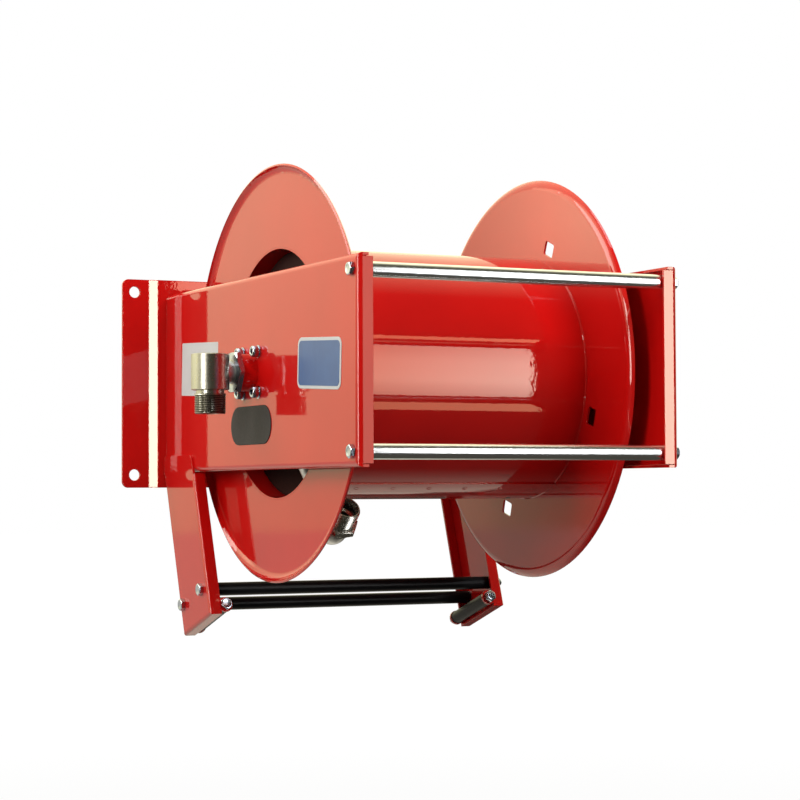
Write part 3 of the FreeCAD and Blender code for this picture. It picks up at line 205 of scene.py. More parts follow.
def calculate(tree, operation, first, second, third=None):
    """A sum, a product or the like of two sockets, with a plain number as a third term."""
    result = tree.nodes.new("ShaderNodeMath")
    result.operation = operation
    tree.links.new(first, result.inputs[0])
    tree.links.new(second, result.inputs[1])
    if third is not None:
        result.inputs[2].default_value = third
    return result.outputs["Value"]


def mix_colours(tree, factor, first, second):
    mix = tree.nodes.new("ShaderNodeMix")
    mix.data_type = "RGBA"
    tree.links.new(factor, mix.inputs["Factor"])
    mix.inputs["A"].default_value = (*first, 1.0)
    mix.inputs["B"].default_value = (*second, 1.0)
    return mix.outputs["Result"]


def mix_shaders(tree, factor, first, second):
    mix = tree.nodes.new("ShaderNodeMixShader")
    tree.links.new(factor, mix.inputs["Fac"])
    tree.links.new(first, mix.inputs[1])
    tree.links.new(second, mix.inputs[2])
    return mix.outputs["Shader"]


def separate(tree, vector):
    split = tree.nodes.new("ShaderNodeSeparateXYZ")
    tree.links.new(vector, split.inputs["Vector"])
    return split.outputs


def add_bump(tree, height, strength, distance, edge_radius=0.0):
    """A bump from a height, over edges softened by a small radius where one is given."""
    bump = tree.nodes.new("ShaderNodeBump")
    bump.inputs["Strength"].default_value = strength
    bump.inputs["Distance"].default_value = distance
    tree.links.new(height, bump.inputs["Height"])
    if edge_radius > 0.0:
        bevel = tree.nodes.new("ShaderNodeBevel")
        bevel.samples = 4
        bevel.inputs["Radius"].default_value = edge_radius
        tree.links.new(bevel.outputs["Normal"], bump.inputs["Normal"])
    return bump.outputs["Normal"]


# Materials


def paint_material(name, edge_radius):
    """Gloss powder coat: a red base under a clear coat with slight orange peel."""
    material, tree, shader = new_material(name)
    shader.inputs["Roughness"].default_value = 0.45
    shader.inputs["Coat Weight"].default_value = 1.0
    shader.inputs["Coat Roughness"].default_value = 0.012
    shader.inputs["Coat IOR"].default_value = 1.5
    shader.inputs["Specular IOR Level"].default_value = 0.05
    tone = add_ramp(tree, add_noise(tree, 9.0, 3.0), 0.3, 0.7)
    base = mix_colours(tree, tone, (0.565, 0.004, 0.0035), (0.50, 0.003, 0.0025))
    tree.links.new(base, shader.inputs["Base Color"])
    peel = add_noise(tree, 270.0, 1.0)
    tree.links.new(add_bump(tree, peel, 0.06, 0.0004, edge_radius), shader.inputs["Coat Normal"])
    grain = add_noise(tree, 900.0, 2.0)
    tree.links.new(add_bump(tree, grain, 0.04, 0.0002, edge_radius), shader.inputs["Normal"])
    return material


def metal_material(name, bright, dark, smooth, rough, scale=220.0, stretch=NO_STRETCH, bump=0.05):
    """Bare or plated metal. Its working marks are dark and rough, and the rest bright and smooth."""
    material, tree, shader = new_material(name)
    shader.inputs["Metallic"].default_value = 1.0
    marks = add_noise(tree, scale, 4.0, stretch)
    tone = add_ramp(tree, marks, 0.3, 0.7)
    tree.links.new(mix_colours(tree, tone, dark, bright), shader.inputs["Base Color"])
    tree.links.new(add_ramp(tree, marks, 0.25, 0.75, rough, smooth), shader.inputs["Roughness"])
    tree.links.new(add_bump(tree, marks, bump, 0.0003), shader.inputs["Normal"])
    return material


def plastic_material(name, first, second, roughness, scale=500.0, stretch=NO_STRETCH, bump=0.1,
                     specular=0.5):
    """Plastic, rubber, paper, or a dark coat that paints shade, in two close tones with a fine grain."""
    material, tree, shader = new_material(name)
    shader.inputs["Roughness"].default_value = roughness
    shader.inputs["Specular IOR Level"].default_value = specular
    grain = add_noise(tree, scale, 3.0, stretch)
    tone = add_ramp(tree, grain, 0.3, 0.7)
    tree.links.new(mix_colours(tree, tone, first, second), shader.inputs["Base Color"])
    tree.links.new(add_bump(tree, grain, bump, 0.0002), shader.inputs["Normal"])
    return material


paint = paint_material("red powder coat", edge_radius=0.0007)
bent_paint = paint_material("red powder coat on wide bends", edge_radius=0.0016)
# A near-black matte coat on the drum's recessed end plates paints the shade inside the recess.
recess_shade_coat = plastic_material("matte dark coat, painted shade of the drum's recess", (0.020, 0.006, 0.006), (0.028, 0.009, 0.008), 0.8,
                          scale=300.0, specular=0.1)
stainless = metal_material("stainless tube", (0.88, 0.89, 0.90), (0.80, 0.81, 0.82), 0.18, 0.26,
                           scale=60.0, stretch=(0.3, 12.0, 12.0), bump=0.01)
zinc = metal_material("bright zinc", (0.55, 0.61, 0.72), (0.40, 0.45, 0.55), 0.10, 0.20,
                      scale=160.0, bump=0.02)
nickel = metal_material("nickel plate", (0.46, 0.45, 0.40), (0.40, 0.39, 0.345), 0.24, 0.34,
                        scale=200.0, stretch=(1.0, 1.0, 0.4), bump=0.015)
outlet_metal = metal_material("nickel plate on the outlet", (0.52, 0.50, 0.46), (0.42, 0.40, 0.36),
                              0.20, 0.32, bump=0.02)
# Dark metal that paints the shade in a thread's grooves.
groove_shade_metal = metal_material("painted shade in thread grooves", (0.14, 0.13, 0.11), (0.09, 0.085, 0.075), 0.35, 0.5)
steel = metal_material("machined steel", (0.62, 0.62, 0.62), (0.45, 0.45, 0.45), 0.25, 0.42)
bronze = metal_material("sintered bronze", (0.60, 0.42, 0.22), (0.45, 0.30, 0.15), 0.35, 0.5)
galvanised = metal_material("galvanised sheet", (0.60, 0.61, 0.62), (0.44, 0.45, 0.46), 0.35, 0.55,
                            scale=70.0)
spring_steel = metal_material("blued spring steel", (0.22, 0.24, 0.30), (0.12, 0.13, 0.17), 0.28, 0.4)
black_roller = plastic_material("black roller", (0.007, 0.007, 0.008), (0.012, 0.012, 0.013), 0.30,
                                scale=90.0, stretch=(0.4, 6.0, 6.0), bump=0.03, specular=0.1)
grey_roller = plastic_material("grey roller", (0.016, 0.016, 0.018), (0.024, 0.024, 0.027), 0.45,
                               specular=0.12)
cover_plastic = plastic_material("window cover", (0.036, 0.034, 0.035), (0.048, 0.046, 0.047), 0.5,
                                 bump=0.15, specular=0.08)
rubber = plastic_material("seal rubber", (0.012, 0.012, 0.012), (0.020, 0.020, 0.020), 0.7)
label_white = plastic_material("label paper", (0.58, 0.59, 0.60), (0.54, 0.55, 0.56), 0.45,
                               scale=40.0, bump=0.03, specular=0.3)
badge_blue = plastic_material("badge blue", (0.020, 0.075, 0.240), (0.026, 0.090, 0.270), 0.3,
                              scale=60.0, bump=0.03)

SLOT_MATERIALS = {
    "red_paint": paint,
    # The dark_paint slot is painted shade on the recessed end plates.
    "dark_paint": recess_shade_coat,
    "stainless_tube": stainless,
    "zinc_plated_steel": zinc,
    "bronze_bush": bronze,
    "machined_steel": steel,
    "nickel_fitting": nickel,
    "black_roller": black_roller,
    "grey_roller": grey_roller,
    "dark_plastic": cover_plastic,
    "rubber_seal": rubber,
    "spring_steel": spring_steel,
    "galvanised_sheet": galvanised,
}

for entry in frame["record"]["subparts"]:
    mesh = nodes[entry["node"]].data
    mesh.materials.clear()
    mesh.materials.append(SLOT_MATERIALS[entry["material_slot"]])

nodes["wall_plate"].data.materials[0] = bent_paint


# Mesh helpers


def smooth_shaded(mesh):
    for polygon in mesh.polygons:
        polygon.use_smooth = True
    mesh.set_sharp_from_angle(angle=SMOOTH_ANGLE)


def finished(name, made, material, body):
    """Turns a bmesh into a smooth-shaded piece on a body."""
    bmesh.ops.recalc_face_normals(made, faces=made.faces)
    mesh = bpy.data.meshes.new(name)
    made.to_mesh(mesh)
    made.free()
    smooth_shaded(mesh)
    mesh.materials.append(material)
    piece = bpy.data.objects.new(name, mesh)
    bpy.context.scene.collection.objects.link(piece)
    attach(piece, body)
    return piece


def turned(made, start, axis, up, sections, steps, hollow=False):
    """A closed shell of rings round an axis. Each section is a distance and a radius, which is
    a number or a function of the angle from the up direction. A hollow shell's last ring joins
    its first; otherwise both ends are closed."""
    side = axis.cross(up)
    rings = []
    for distance, radius in sections:
        ring = []
        for step in range(steps):
            turn = math.tau * step / steps
            reach = radius(turn) if callable(radius) else radius
            ring.append(made.verts.new(start + axis * distance + up * (reach * math.cos(turn))
                                       + side * (reach * math.sin(turn))))
        rings.append(ring)
    pairs = list(zip(rings, rings[1:]))
    if hollow:
        pairs.append((rings[-1], rings[0]))
    else:
        made.faces.new(rings[0])
        made.faces.new(rings[-1])
    for first, second in pairs:
        for index in range(steps):
            other = (index + 1) % steps
            made.faces.new((first[index], first[other], second[other], second[index]))


def hexagonal(flats, limit=math.inf):
    """The radius of a hexagon with a corner up, rounded off at a limit by its chamfer."""
    def radius(turn):
        inside = (turn + math.pi / 6) % (math.pi / 3) - math.pi / 6
        return min(flats / 2 / math.cos(math.pi / 6 - abs(inside)), limit)
    return radius


def hex_sections(start, end, flats, both_ends=True):
    """Sections of a hexagonal prism with a 30 degree chamfer on its first end, or on both."""
    inner = flats / 2 * 0.96
    corner = flats / math.sqrt(3)
    rise = (corner - inner) * math.tan(math.radians(30))
    chamfer = []
    for share in (0.0, 0.25, 0.5, 0.75, 1.0):
        chamfer.append((rise * share, hexagonal(flats, inner + (corner - inner) * share)))
    sections = [(start + depth, radius) for depth, radius in chamfer]
    if both_ends:
        sections += [(end - depth, radius) for depth, radius in reversed(chamfer)]
    else:
        sections.append((end, hexagonal(flats)))
    return sections


def threaded(start, length, crest, pitch, direction=1):
    """Sections of a male thread: a 60 degree helical groove that fades out at both ends."""
    rings_per_turn = 8
    depth = 0.6 * pitch
    fade_in = 1.5 * pitch
    fade_out = 0.6 * pitch
    count = int(length / pitch * rings_per_turn)
    sections = []
    for number in range(count + 1):
        along = length * number / count

        def radius(turn, along=along):
            phase = (along / pitch - turn / math.tau) % 1.0
            height = max(0.0, min(1.0, (0.5 - abs(phase - 0.5)) * 2.6 - 0.2))
            fade = min(1.0, along / fade_in, (length - along) / fade_out + 0.2)
            reach = crest - depth * (1.0 - height) * max(0.0, fade)
            return min(reach, crest - LEAD_IN + max(0.0, length - along))
        sections.append((start + direction * along, radius))
    return sections


def tilt(x, y, z):
    """A point of the hose guide's upright drawing, turned to its place."""
    cos, sin = math.cos(GUIDE_TILT), math.sin(GUIDE_TILT)
    return Vector((x, AXIS_Y + y * cos + z * sin, z * cos - y * sin))


def tilted_direction(x, y, z):
    return tilt(x, y, z) - tilt(0.0, 0.0, 0.0)


# Fasteners


def hex_bolt(made, seat, axis, up, shank):
    """A bolt along an axis: a chamfered, slightly dished head, a washer face and the shank."""
    sections = [(-HEX_HEAD_HEIGHT + 0.00015, 0.0045), (-HEX_HEAD_HEIGHT, 0.0052)]
    sections += hex_sections(-HEX_HEAD_HEIGHT, -WASHER_FACE, HEX_FLATS, both_ends=False)
    sections += [(-WASHER_FACE, WASHER_FACE_RADIUS), (0.0, WASHER_FACE_RADIUS), (0.0, BOLT_RADIUS),
                 (shank - 0.001, BOLT_RADIUS), (shank, BOLT_TIP_RADIUS)]
    turned(made, seat, axis, up, sections, 48)


def cap_screw(made, seat, axis, up, shank):
    """A socket head screw: knurled head with a soft top edge, hexagonal socket and shank."""
    def knurl(turn):
        return CAP_HEAD_RADIUS - KNURL_DEPTH * (0.5 + 0.5 * math.cos(KNURLS * turn))
    socket = hexagonal(CAP_SOCKET_FLATS)
    sections = [(-CAP_SOCKET_DEPTH, 0.0005), (-CAP_SOCKET_DEPTH, socket),
                (-CAP_HEAD_HEIGHT + 0.0002, socket), (-CAP_HEAD_HEIGHT, 0.0040),
                (-CAP_HEAD_HEIGHT, 0.0056), (-CAP_HEAD_HEIGHT + 0.0004, 0.0061),
                (-CAP_HEAD_HEIGHT + 0.0009, knurl), (-0.0012, knurl), (-0.0008, 0.0062), (0.0, 0.0062),
                (0.0, BOLT_RADIUS), (shank, BOLT_RADIUS)]
    turned(made, seat, axis, up, sections, 4 * KNURLS)


def lock_nut(made, seat, axis, up):
    """A chamfered nut with the rounded collar that holds its insert."""
    sections = hex_sections(0.0002, 0.0064, HEX_FLATS)
    sections += [(0.0066, 0.0060), (0.0072, 0.0059), (0.0078, 0.0054), (0.0080, 0.0048),
                 (0.0080, NUT_BORE_RADIUS), (0.0002, NUT_BORE_RADIUS)]
    turned(made, seat, axis, up, sections, 48, hollow=True)


def zinc_plated(made, name, node):
    """Finishes a fastener or a set of them in place of its CAD piece."""
    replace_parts(finished(name, made, zinc, "frame"), node)


def upward(degrees):
    """The up direction of a fastener along x that was tightened to some angle."""
    return Matrix.Rotation(math.radians(degrees), 3, "X") @ ALONG_Z


def make_tie_rod_bolts():
    made = bmesh.new()
    for number, (side, level) in enumerate(((-1, -1), (-1, 1), (1, -1), (1, 1))):
        seat = Vector((side * PLATE_X, TIE_Y, level * TIE_HEIGHT))
        hex_bolt(made, seat, ALONG_X * -side, upward(17.0 * number + 8.0), TIE_BOLT_LENGTH)
    zinc_plated(made, "tie_rod_bolt_set", "tie_rod_bolts")


def make_guide_bolts():
    """The bolts that the four guide rollers turn on, their nuts, and the like nut of the pawl's pin."""
    for name, place in LONG_ROLLER_PLACES.items():
        made = bmesh.new()
        hex_bolt(made, tilt(-ARM_OUTER_X, place, LONG_ROLLER_LEVEL), ALONG_X, ALONG_Z,
                 2 * ARM_OUTER_X + LONG_BOLT_END)
        zinc_plated(made, name + "_roller_bolt", name + "_roller_axle")
    back = tilted_direction(0.0, 1.0, 0.0)
    up = tilted_direction(0.0, 0.0, 1.0)
    left_nut = tilt(-END_ROLLER_X, ARM_REAR, END_ROLLER_LEVEL)
    right_nut = tilt(END_ROLLER_X, ARM_FRONT, END_ROLLER_LEVEL)
    left_seat = tilt(-END_ROLLER_X, ARM_FRONT, END_ROLLER_LEVEL)
    right_seat = tilt(END_ROLLER_X, ARM_REAR, END_ROLLER_LEVEL)
    for name, seat, direction in (("left", left_seat, back), ("right", right_seat, -back)):
        made = bmesh.new()
        hex_bolt(made, seat, direction, up, END_BOLT_LENGTH)
        zinc_plated(made, name + "_end_roller_bolt", name + "_end_roller_axle")
    made = bmesh.new()
    for place in LONG_ROLLER_PLACES.values():
        lock_nut(made, tilt(ARM_OUTER_X, place, LONG_ROLLER_LEVEL), ALONG_X, ALONG_Z)
    lock_nut(made, left_nut, back, up)
    lock_nut(made, right_nut, -back, up)
    zinc_plated(made, "roller_nut_set", "roller_axle_nuts")
    made = bmesh.new()
    lock_nut(made, Vector((PLATE_X, AXIS_Y, PAWL_PIN_HEIGHT)), ALONG_X, ALONG_Z)
    zinc_plated(made, "pawl_pin_nut", "pawl_nut")


def make_flange_screws():
    for name, side in (("bearing_flange", -1), ("arbor_flange", 1)):
        made = bmesh.new()
        for number, (y, z) in enumerate(((-1, -1), (-1, 1), (1, -1), (1, 1))):
            seat = Vector((side * (PLATE_X + FLANGE_WASHER), AXIS_Y + y * FLANGE_SPACING,
                           z * FLANGE_SPACING))
            cap_screw(made, seat, ALONG_X * -side, upward(13.0 * number), FLANGE_SCREW_LENGTH)
        zinc_plated(made, name + "_screw_set", name + "_screws")


# Water fittings


def bored(piece, start, axis, radius, length):
    """Drills a round hole into a piece."""
    made = bmesh.new()
    turned(made, start, axis, axis.orthogonal().normalized(), [(0.0, radius), (length, radius)], 64)
    bmesh.ops.recalc_face_normals(made, faces=made.faces)
    mesh = bpy.data.meshes.new("drill")
    made.to_mesh(mesh)
    made.free()
    drill = bpy.data.objects.new("drill", mesh)
    bpy.context.scene.collection.objects.link(drill)
    cut = piece.modifiers.new("bore", "BOOLEAN")
    cut.operation = "DIFFERENCE"
    cut.solver = "EXACT"
    cut.object = drill
    graph = bpy.context.evaluated_depsgraph_get()
    result = bpy.data.meshes.new_from_object(piece.evaluated_get(graph))
    piece.modifiers.remove(cut)
    bpy.data.objects.remove(drill)
    piece.data = result
    smooth_shaded(result)


def paint_groove_shade(piece, start, axis, crest, pitch, low, high):
    """Paints shade into a thread's grooves as a darker metal between two distances."""
    piece.data.materials.append(groove_shade_metal)
    for polygon in piece.data.polygons:
        offset = polygon.center - start
        along = offset.dot(axis)
        radius = (offset - axis * along).length
        if low < along < high and crest - 0.7 * pitch < radius < crest - 0.25 * pitch:
            polygon.material_index = 1


def make_inlet():
    """The swivel elbow: a turned body with a grooved top, a neck and an M36 x 2 thread."""
    centre = Vector((ELBOW_X, AXIS_Y, 0.0))
    shoulder = [(-ELBOW_HALF_HEIGHT, 0.0207), (-0.0203, 0.0211), (-0.01975, ELBOW_RADIUS),
                (0.0, ELBOW_RADIUS)]
    sections = [(ELBOW_BORE_TOP, 0.0001), (ELBOW_BORE_TOP, ELBOW_BORE_RADIUS),
                (-0.0465, ELBOW_BORE_RADIUS), (ELBOW_FOOT, 0.0105)]
    sections += reversed(threaded(ELBOW_NECK_FOOT, INLET_THREAD_LENGTH, INLET_CREST, INLET_PITCH,
                                  direction=-1))
    sections += [(ELBOW_NECK_FOOT, ELBOW_NECK_RADIUS), (-ELBOW_HALF_HEIGHT, ELBOW_NECK_RADIUS)]
    sections += shoulder
    sections += [(-height, radius) for height, radius in reversed(shoulder[:-1])]
    sections += [(ELBOW_HALF_HEIGHT, 0.0150), (0.0204, 0.0040), (0.0204, 0.0001)]
    made = bmesh.new()
    turned(made, centre, ALONG_Z, ALONG_Y, sections, 96)
    piece = finished("inlet_swivel_elbow", made, nickel, "inlet_swivel")
    # The elbow thread's grooves get painted shade.
    paint_groove_shade(piece, centre, ALONG_Z, INLET_CREST, INLET_PITCH, ELBOW_FOOT, ELBOW_NECK_FOOT)
    bored(piece, Vector((SHAFT_BORE_START, AXIS_Y, 0.0)), ALONG_X, SHAFT_BORE_RADIUS, SHAFT_BORE_LENGTH)
    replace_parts(piece, "inlet_elbow")


def make_outlet():
    """The hose fitting: a collar over the pipe, a chamfered hexagon and a G 1 thread."""
    out = Vector((0.0, -math.cos(OUTLET_RISE), math.sin(OUTLET_RISE)))
    corner = Vector((OUTLET_X, AXIS_Y - CORNER_RADIUS * math.sin(CORNER_ANGLE),
                     -CORNER_RADIUS * math.cos(CORNER_ANGLE)))
    mouth = corner + out * CORNER_TO_MOUTH
    sections = [(OUTLET_COLLAR_START, OUTLET_PIPE_RADIUS), (OUTLET_COLLAR_START, 0.0160),
                (-0.0336, OUTLET_COLLAR_RADIUS), (OUTLET_HEX_START, OUTLET_COLLAR_RADIUS)]
    sections += hex_sections(OUTLET_HEX_START, -OUTLET_THREAD_LENGTH, OUTLET_HEX_FLATS)
    sections += [(-OUTLET_THREAD_LENGTH, 0.0152)]
    sections += threaded(-OUTLET_THREAD_LENGTH, OUTLET_THREAD_LENGTH, OUTLET_CREST, OUTLET_PITCH)
    sections += [(0.0, OUTLET_MOUTH_RADIUS + 0.0002), (-0.0004, OUTLET_MOUTH_RADIUS),
                 (-OUTLET_MOUTH_DEPTH, OUTLET_MOUTH_RADIUS), (-0.018, OUTLET_BORE_RADIUS),
                 (OUTLET_PIPE_STOP, OUTLET_BORE_RADIUS), (OUTLET_PIPE_STOP, OUTLET_PIPE_RADIUS)]
    made = bmesh.new()
    turned(made, mouth, out, ALONG_X, sections, 96, hollow=True)
    piece = finished("outlet_hose_fitting", made, outlet_metal, "drum")
    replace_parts(piece, "outlet_fitting")


# Drum details


def make_spot_welds():
    """A row of shallow pressed rings where the barrel's lap is welded."""
    outward = Vector((0.0, -math.cos(WELD_ANGLE), -math.sin(WELD_ANGLE)))
    profile = [(0.0, 0.0034), (0.00045, 0.0033), (0.0007, 0.0029), (0.0006, 0.0024), (0.0004, 0.0015),
               (0.0004, 0.0002)]
    made = bmesh.new()
    for number in range(-WELDS_EACH_SIDE, WELDS_EACH_SIDE + 1):
        centre = (Vector((number * WELD_SPACING, AXIS_Y, 0.0))
                  + outward * (BARREL_LAP_RADIUS - WELD_SINK))
        turned(made, centre, outward, ALONG_X, profile, 32)
    finished("lap_spot_welds", made, paint, "drum")


# Labels


def rounded_outline(half_length, half_height, radius, steps=10):
    """Points of a rounded rectangle in two coordinates."""
    points = []
    for corner, (sign_a, sign_b) in enumerate(((1, 1), (-1, 1), (-1, -1), (1, -1))):
        for step in range(steps + 1):
            turn = math.radians(90 * corner + 90 * step / steps)
            points.append((sign_a * (half_length - radius) + radius * math.cos(turn),
                           sign_b * (half_height - radius) + radius * math.sin(turn)))
    return points


def sticker(name, place, half_length, half_height, radius, lift, thickness, material):
    """A thin plate with softened edges on the left side plate's outer face. Its place is the
    distance behind the drum's axis, the height, and the angle in degrees that its front sinks."""
    behind, height, angle = place
    cos, sin = math.cos(math.radians(angle)), math.sin(math.radians(angle))
    made = bmesh.new()
    rings = []
    for inset, proud in ((0.0, 0.0), (0.0, thickness * 0.6), (thickness * 0.5, thickness)):
        ring = []
        for a, b in rounded_outline(half_length - inset, half_height - inset, radius - inset):
            ring.append(made.verts.new((-PLATE_X - (lift + proud), AXIS_Y + behind - a * cos - b * sin,
                                        height - a * sin + b * cos)))
        rings.append(ring)
    count = len(rings[0])
    for lower, upper in zip(rings, rings[1:]):
        for index in range(count):
            other = (index + 1) % count
            made.faces.new((lower[index], lower[other], upper[other], upper[index]))
    made.faces.new(rings[-1])
    made.faces.new(list(reversed(rings[0])))
    finished(name, made, material, "frame")


def make_labels():
    badge = (-0.1893, 0.0011, 3.1)
    border = 0.0006
    sticker("badge_border", badge, 0.0563, 0.0277, 0.009, 0.0, border, label_white)
    sticker("badge_panel", badge, 0.0528, 0.0242, 0.006, border, 0.0003, badge_blue)
    sticker("data_label", (0.1615, 0.0123, 2.6), 0.0592, 0.0322, 0.002, 0.0, 0.0002, label_white)


make_tie_rod_bolts()
make_guide_bolts()
make_flange_screws()
make_inlet()
make_outlet()
make_spot_welds()
make_labels()


# Studio


def make_stage():
    """A pale floor that keeps the object's shadow. It is white to the camera farther off. To glossy rays
    it glows with a painted reflection, bright only behind the drum and dim elsewhere."""
    bpy.ops.mesh.primitive_plane_add(size=60.0, location=(0.0, 0.0, FLOOR_Z))
    floor = bpy.context.object
    floor.name = "floor"
    material, tree, shader = new_material("pale floor")
    shader.inputs["Base Color"].default_value = (*FLOOR_COLOUR, 1.0)
    shader.inputs["Roughness"].default_value = 0.9
    position = tree.nodes.new("ShaderNodeNewGeometry").outputs["Position"]
    place = separate(tree, position)
    length = tree.nodes.new("ShaderNodeVectorMath")
    length.operation = "LENGTH"
    tree.links.new(position, length.inputs[0])
    distance = length.outputs["Value"]
    paths = tree.nodes.new("ShaderNodeLightPath")

    white = tree.nodes.new("ShaderNodeEmission")
    tree.links.new(add_ramp(tree, distance, 1.2, 3.0, 1.20, 1.01), white.inputs["Strength"])
    share = add_ramp(tree, distance, 1.2, 3.0, 0.75, 1.0)
    seen = calculate(tree, "MULTIPLY", paths.outputs["Is Camera Ray"], share)
    direct = mix_shaders(tree, seen, shader.outputs["BSDF"], white.outputs["Emission"])

    # Painted reflection: the floor glows to glossy rays, bright behind the drum and left of its right end,
    # and fading with distance.
    behind = add_ramp(tree, place["Y"], -0.28, 0.15)
    beside = add_ramp(tree, place["X"], 0.52, 0.56, 1.0, 0.0)
    faded = add_ramp(tree, distance, 1.0, 3.0, 1.0, 0.72)
    bright = calculate(tree, "MULTIPLY", calculate(tree, "MULTIPLY", behind, beside), faded)
    mirrored = tree.nodes.new("ShaderNodeEmission")
    mirrored.inputs["Color"].default_value = (*FLOOR_PAINTED_REFLECTION_COLOUR, 1.0)
    tree.links.new(add_ramp(tree, bright, 0.0, 1.0, 0.06, 0.95), mirrored.inputs["Strength"])

    whole = mix_shaders(tree, paths.outputs["Is Glossy Ray"], direct, mirrored.outputs["Emission"])
    tree.links.new(whole, tree.nodes["Material Output"].inputs["Surface"])
    floor.data.materials.append(material)


def make_world():
    """White to the camera and through glass. Reflections show that white backdrop, warm, behind the
    object, and the dim room in front of it. The rest is a plain dim fill."""
    world = bpy.data.worlds.new("studio")
    bpy.context.scene.world = world
    world.use_nodes = True
    tree = world.node_tree
    tree.nodes.clear()
    output = tree.nodes.new("ShaderNodeOutputWorld")
    paths = tree.nodes.new("ShaderNodeLightPath")
    direction = separate(tree, tree.nodes.new("ShaderNodeTexCoord").outputs["Generated"])
    white = tree.nodes.new("ShaderNodeBackground")
    white.inputs["Color"].default_value = (*WHITE, 1.0)

    backdrop = tree.nodes.new("ShaderNodeBackground")
    backdrop.inputs["Color"].default_value = (*BACKDROP_COLOUR, 1.0)
    back = add_ramp(tree, direction["Y"], -0.2, 0.35, 0.05, 1.0)
    height = add_ramp(tree, direction["Z"], -0.06, 0.14, 0.75, 1.6)
    turned_left = add_ramp(tree, direction["X"], -0.465, -0.515)
    change = add_ramp(tree, direction["Z"], 0.02, 0.12, -0.5, 1.15)
    uneven = calculate(tree, "MULTIPLY_ADD", turned_left, change, 1.0)
    strength = calculate(tree, "MULTIPLY", calculate(tree, "MULTIPLY", back, height), uneven)
    tree.links.new(strength, backdrop.inputs["Strength"])

    fill = tree.nodes.new("ShaderNodeBackground")
    above = add_ramp(tree, direction["Z"], 0.0, 0.8, 0.02, 0.12)
    beside = add_ramp(tree, direction["X"], 0.2, 0.9, 0.0, 0.35)
    behind = add_ramp(tree, direction["Y"], 0.2, 0.9, 0.0, 0.30)
    strength = calculate(tree, "ADD", calculate(tree, "ADD", above, beside), behind)
    tree.links.new(strength, fill.inputs["Strength"])

    dim = mix_shaders(tree, paths.outputs["Is Glossy Ray"], fill.outputs["Background"],
                      backdrop.outputs["Background"])
    seen = calculate(tree, "MAXIMUM", paths.outputs["Is Camera Ray"], paths.outputs["Is Transmission Ray"])
    whole = mix_shaders(tree, seen, dim, white.outputs["Background"])
    tree.links.new(whole, output.inputs["Surface"])


def soft_light(name, place, target, width, height, radiance):
    """A rectangular soft light of a given brightness."""
    data = bpy.data.lights.new(name, "AREA")
    data.shape = "RECTANGLE"
    data.size = width
    data.size_y = height
    data.energy = radiance * math.pi * width * height
    lamp = bpy.data.objects.new(name, data)
    bpy.context.scene.collection.objects.link(lamp)
    lamp.location = place
    lamp.rotation_euler = (Vector(target) - Vector(place)).to_track_quat("-Z", "Y").to_euler()
    return lamp


def only_reflected(lamp, receivers):
    """Shows a light in the reflections of some pieces, and nowhere else."""
    lamp.visible_diffuse = False
    lamp.light_linking.receiver_collection = receivers


def wall_panel(name, left, right, place_y, low, high, radiance, node):
    """An upright panel in front of the reel that faces the wall and is mirrored by one piece."""
    middle = ((left + right) / 2, place_y, (low + high) / 2)
    lamp = soft_light(name, middle, (middle[0], 0.0, middle[2]), right - left, high - low, radiance)
    lamp.data.color = PANEL_COLOUR
    receivers = bpy.data.collections.new(node + " alone")
    receivers.objects.link(nodes[node])
    only_reflected(lamp, receivers)


def drum_panel(name, low, high, right, colours, radiances, shares, receivers):
    """A mirrored panel that faces the drum between two angles in degrees above the horizon.
    Its colours and radiances are those at its left and right, and each of the shares at its
    foot and top multiplies them."""
    middle = math.radians((low + high) / 2)
    place = ((PANEL_LEFT + right) / 2, AXIS_Y - PANEL_REACH * math.cos(middle),
             PANEL_REACH * math.sin(middle))
    height = 2 * PANEL_REACH * math.tan(math.radians((high - low) / 2))
    lamp = soft_light(name, place, (place[0], AXIS_Y, 0.0), right - PANEL_LEFT, height, 1.0)
    lamp.data.use_nodes = True
    tree = lamp.data.node_tree
    place_on_panel = separate(tree, tree.nodes.new("ShaderNodeNewGeometry").outputs["Parametric"])
    across = add_ramp(tree, place_on_panel["X"], 0.0, 1.0)
    brightness = add_ramp(tree, place_on_panel["X"], 0.0, 1.0, *radiances)
    share = add_ramp(tree, place_on_panel["Y"], 0.0, 1.0, *shares)
    emission = tree.nodes["Emission"]
    tree.links.new(mix_colours(tree, across, *colours), emission.inputs["Color"])
    tree.links.new(calculate(tree, "MULTIPLY", brightness, share), emission.inputs["Strength"])
    only_reflected(lamp, receivers)


def pieces_of(name, materials):
    """A collection of the pieces made of some materials."""
    group = bpy.data.collections.new(name)
    for piece in bpy.context.scene.objects:
        if piece.type == "MESH" and piece.data.materials[0] in materials:
            group.objects.link(piece)
    return group


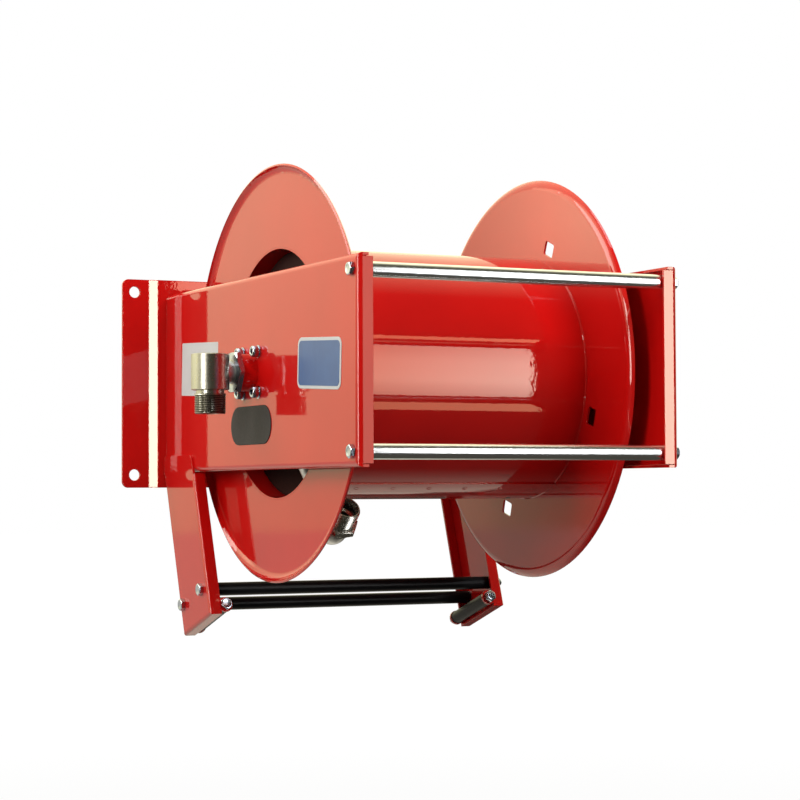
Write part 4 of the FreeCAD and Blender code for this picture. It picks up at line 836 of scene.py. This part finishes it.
def make_lights():
    centre = (0.0, AXIS_Y, 0.0)
    painted = pieces_of("painted pieces", (paint, bent_paint))
    fittings = pieces_of("fittings", (stainless, zinc, outlet_metal, black_roller, grey_roller))
    pale = ((1.0, 0.54, 0.38), (1.0, 0.80, 0.65))
    deep = ((1.0, 0.43, 0.24), (1.0, 0.52, 0.30))
    plain = (WHITE, WHITE)
    bars = 0.715                # right ends of the window's panes and of the bars above and below
    panes = 0.697
    tubes = 0.8
    bright = (9.6, 11.8)
    even = (1.0, 1.0)
    drum_panel("window top", 28.8, 31.7, bars, deep, (5.6, 6.0), even, painted)
    drum_panel("window upper part", 9.6, 24.3, panes, pale, bright, (0.90, 0.62), painted)
    drum_panel("window middle", -5.8, 9.6, panes, pale, bright, (1.0, 0.90), painted)
    drum_panel("window lower part", -19.5, -5.8, panes, pale, bright, (0.66, 1.0), painted)
    drum_panel("window foot", -32.2, -23.6, bars, deep, (5.4, 5.4), even, painted)
    drum_panel("tube window top", 28.8, 33.0, tubes, plain, (5.0, 5.0), even, fittings)
    drum_panel("tube window", -19.5, 24.3, tubes, plain, (5.6, 5.6), even, fittings)
    wall_panel("right strip", 1.33, 1.56, -2.4, -0.87, 0.87, 14.0, "right_side_plate")
    wall_panel("flange panel", 1.14, 1.30, -3.5, -1.6, 1.6, 2.4, "left_side_plate")
    wall_panel("left strip", -1.05, -0.64, -2.4, -0.5, 1.0, 26.0, "wall_plate")
    soft_light("top softbox", (-0.3, -0.7, 2.4), centre, 1.2, 1.2, 5.3)
    soft_light("left softbox", (-1.6, 0.5, 1.1), centre, 1.2, 1.2, 4.2)
    front_left = soft_light("left front softbox", (-2.0, -1.2, 0.55), centre, 0.6, 1.3, 11.5)
    front_left.data.color = (1.0, 0.96, 0.86)
    front = soft_light("front softbox", (0.8, -2.8, 1.9), centre, 1.5, 1.5, 10.2)
    front.visible_glossy = False


def make_camera():
    ahead = Vector((math.sin(CAMERA_YAW) * math.cos(CAMERA_PITCH),
                    math.cos(CAMERA_YAW) * math.cos(CAMERA_PITCH), math.sin(CAMERA_PITCH)))
    level_right = Vector((math.cos(CAMERA_YAW), -math.sin(CAMERA_YAW), 0.0))
    level_up = level_right.cross(ahead)
    right = level_right * math.cos(CAMERA_ROLL) + level_up * math.sin(CAMERA_ROLL)
    up = level_up * math.cos(CAMERA_ROLL) - level_right * math.sin(CAMERA_ROLL)
    matrix = Matrix((right, up, -ahead)).transposed().to_4x4()
    matrix.translation = CAMERA_PLACE
    data = bpy.data.cameras.new("camera")
    data.sensor_width = SENSOR_WIDTH
    data.lens = LENS
    camera = bpy.data.objects.new("camera", data)
    bpy.context.scene.collection.objects.link(camera)
    camera.matrix_world = matrix
    bpy.context.scene.camera = camera


make_camera()
make_stage()
make_world()
make_lights()
bpy.context.scene.view_settings.view_transform = "Standard"
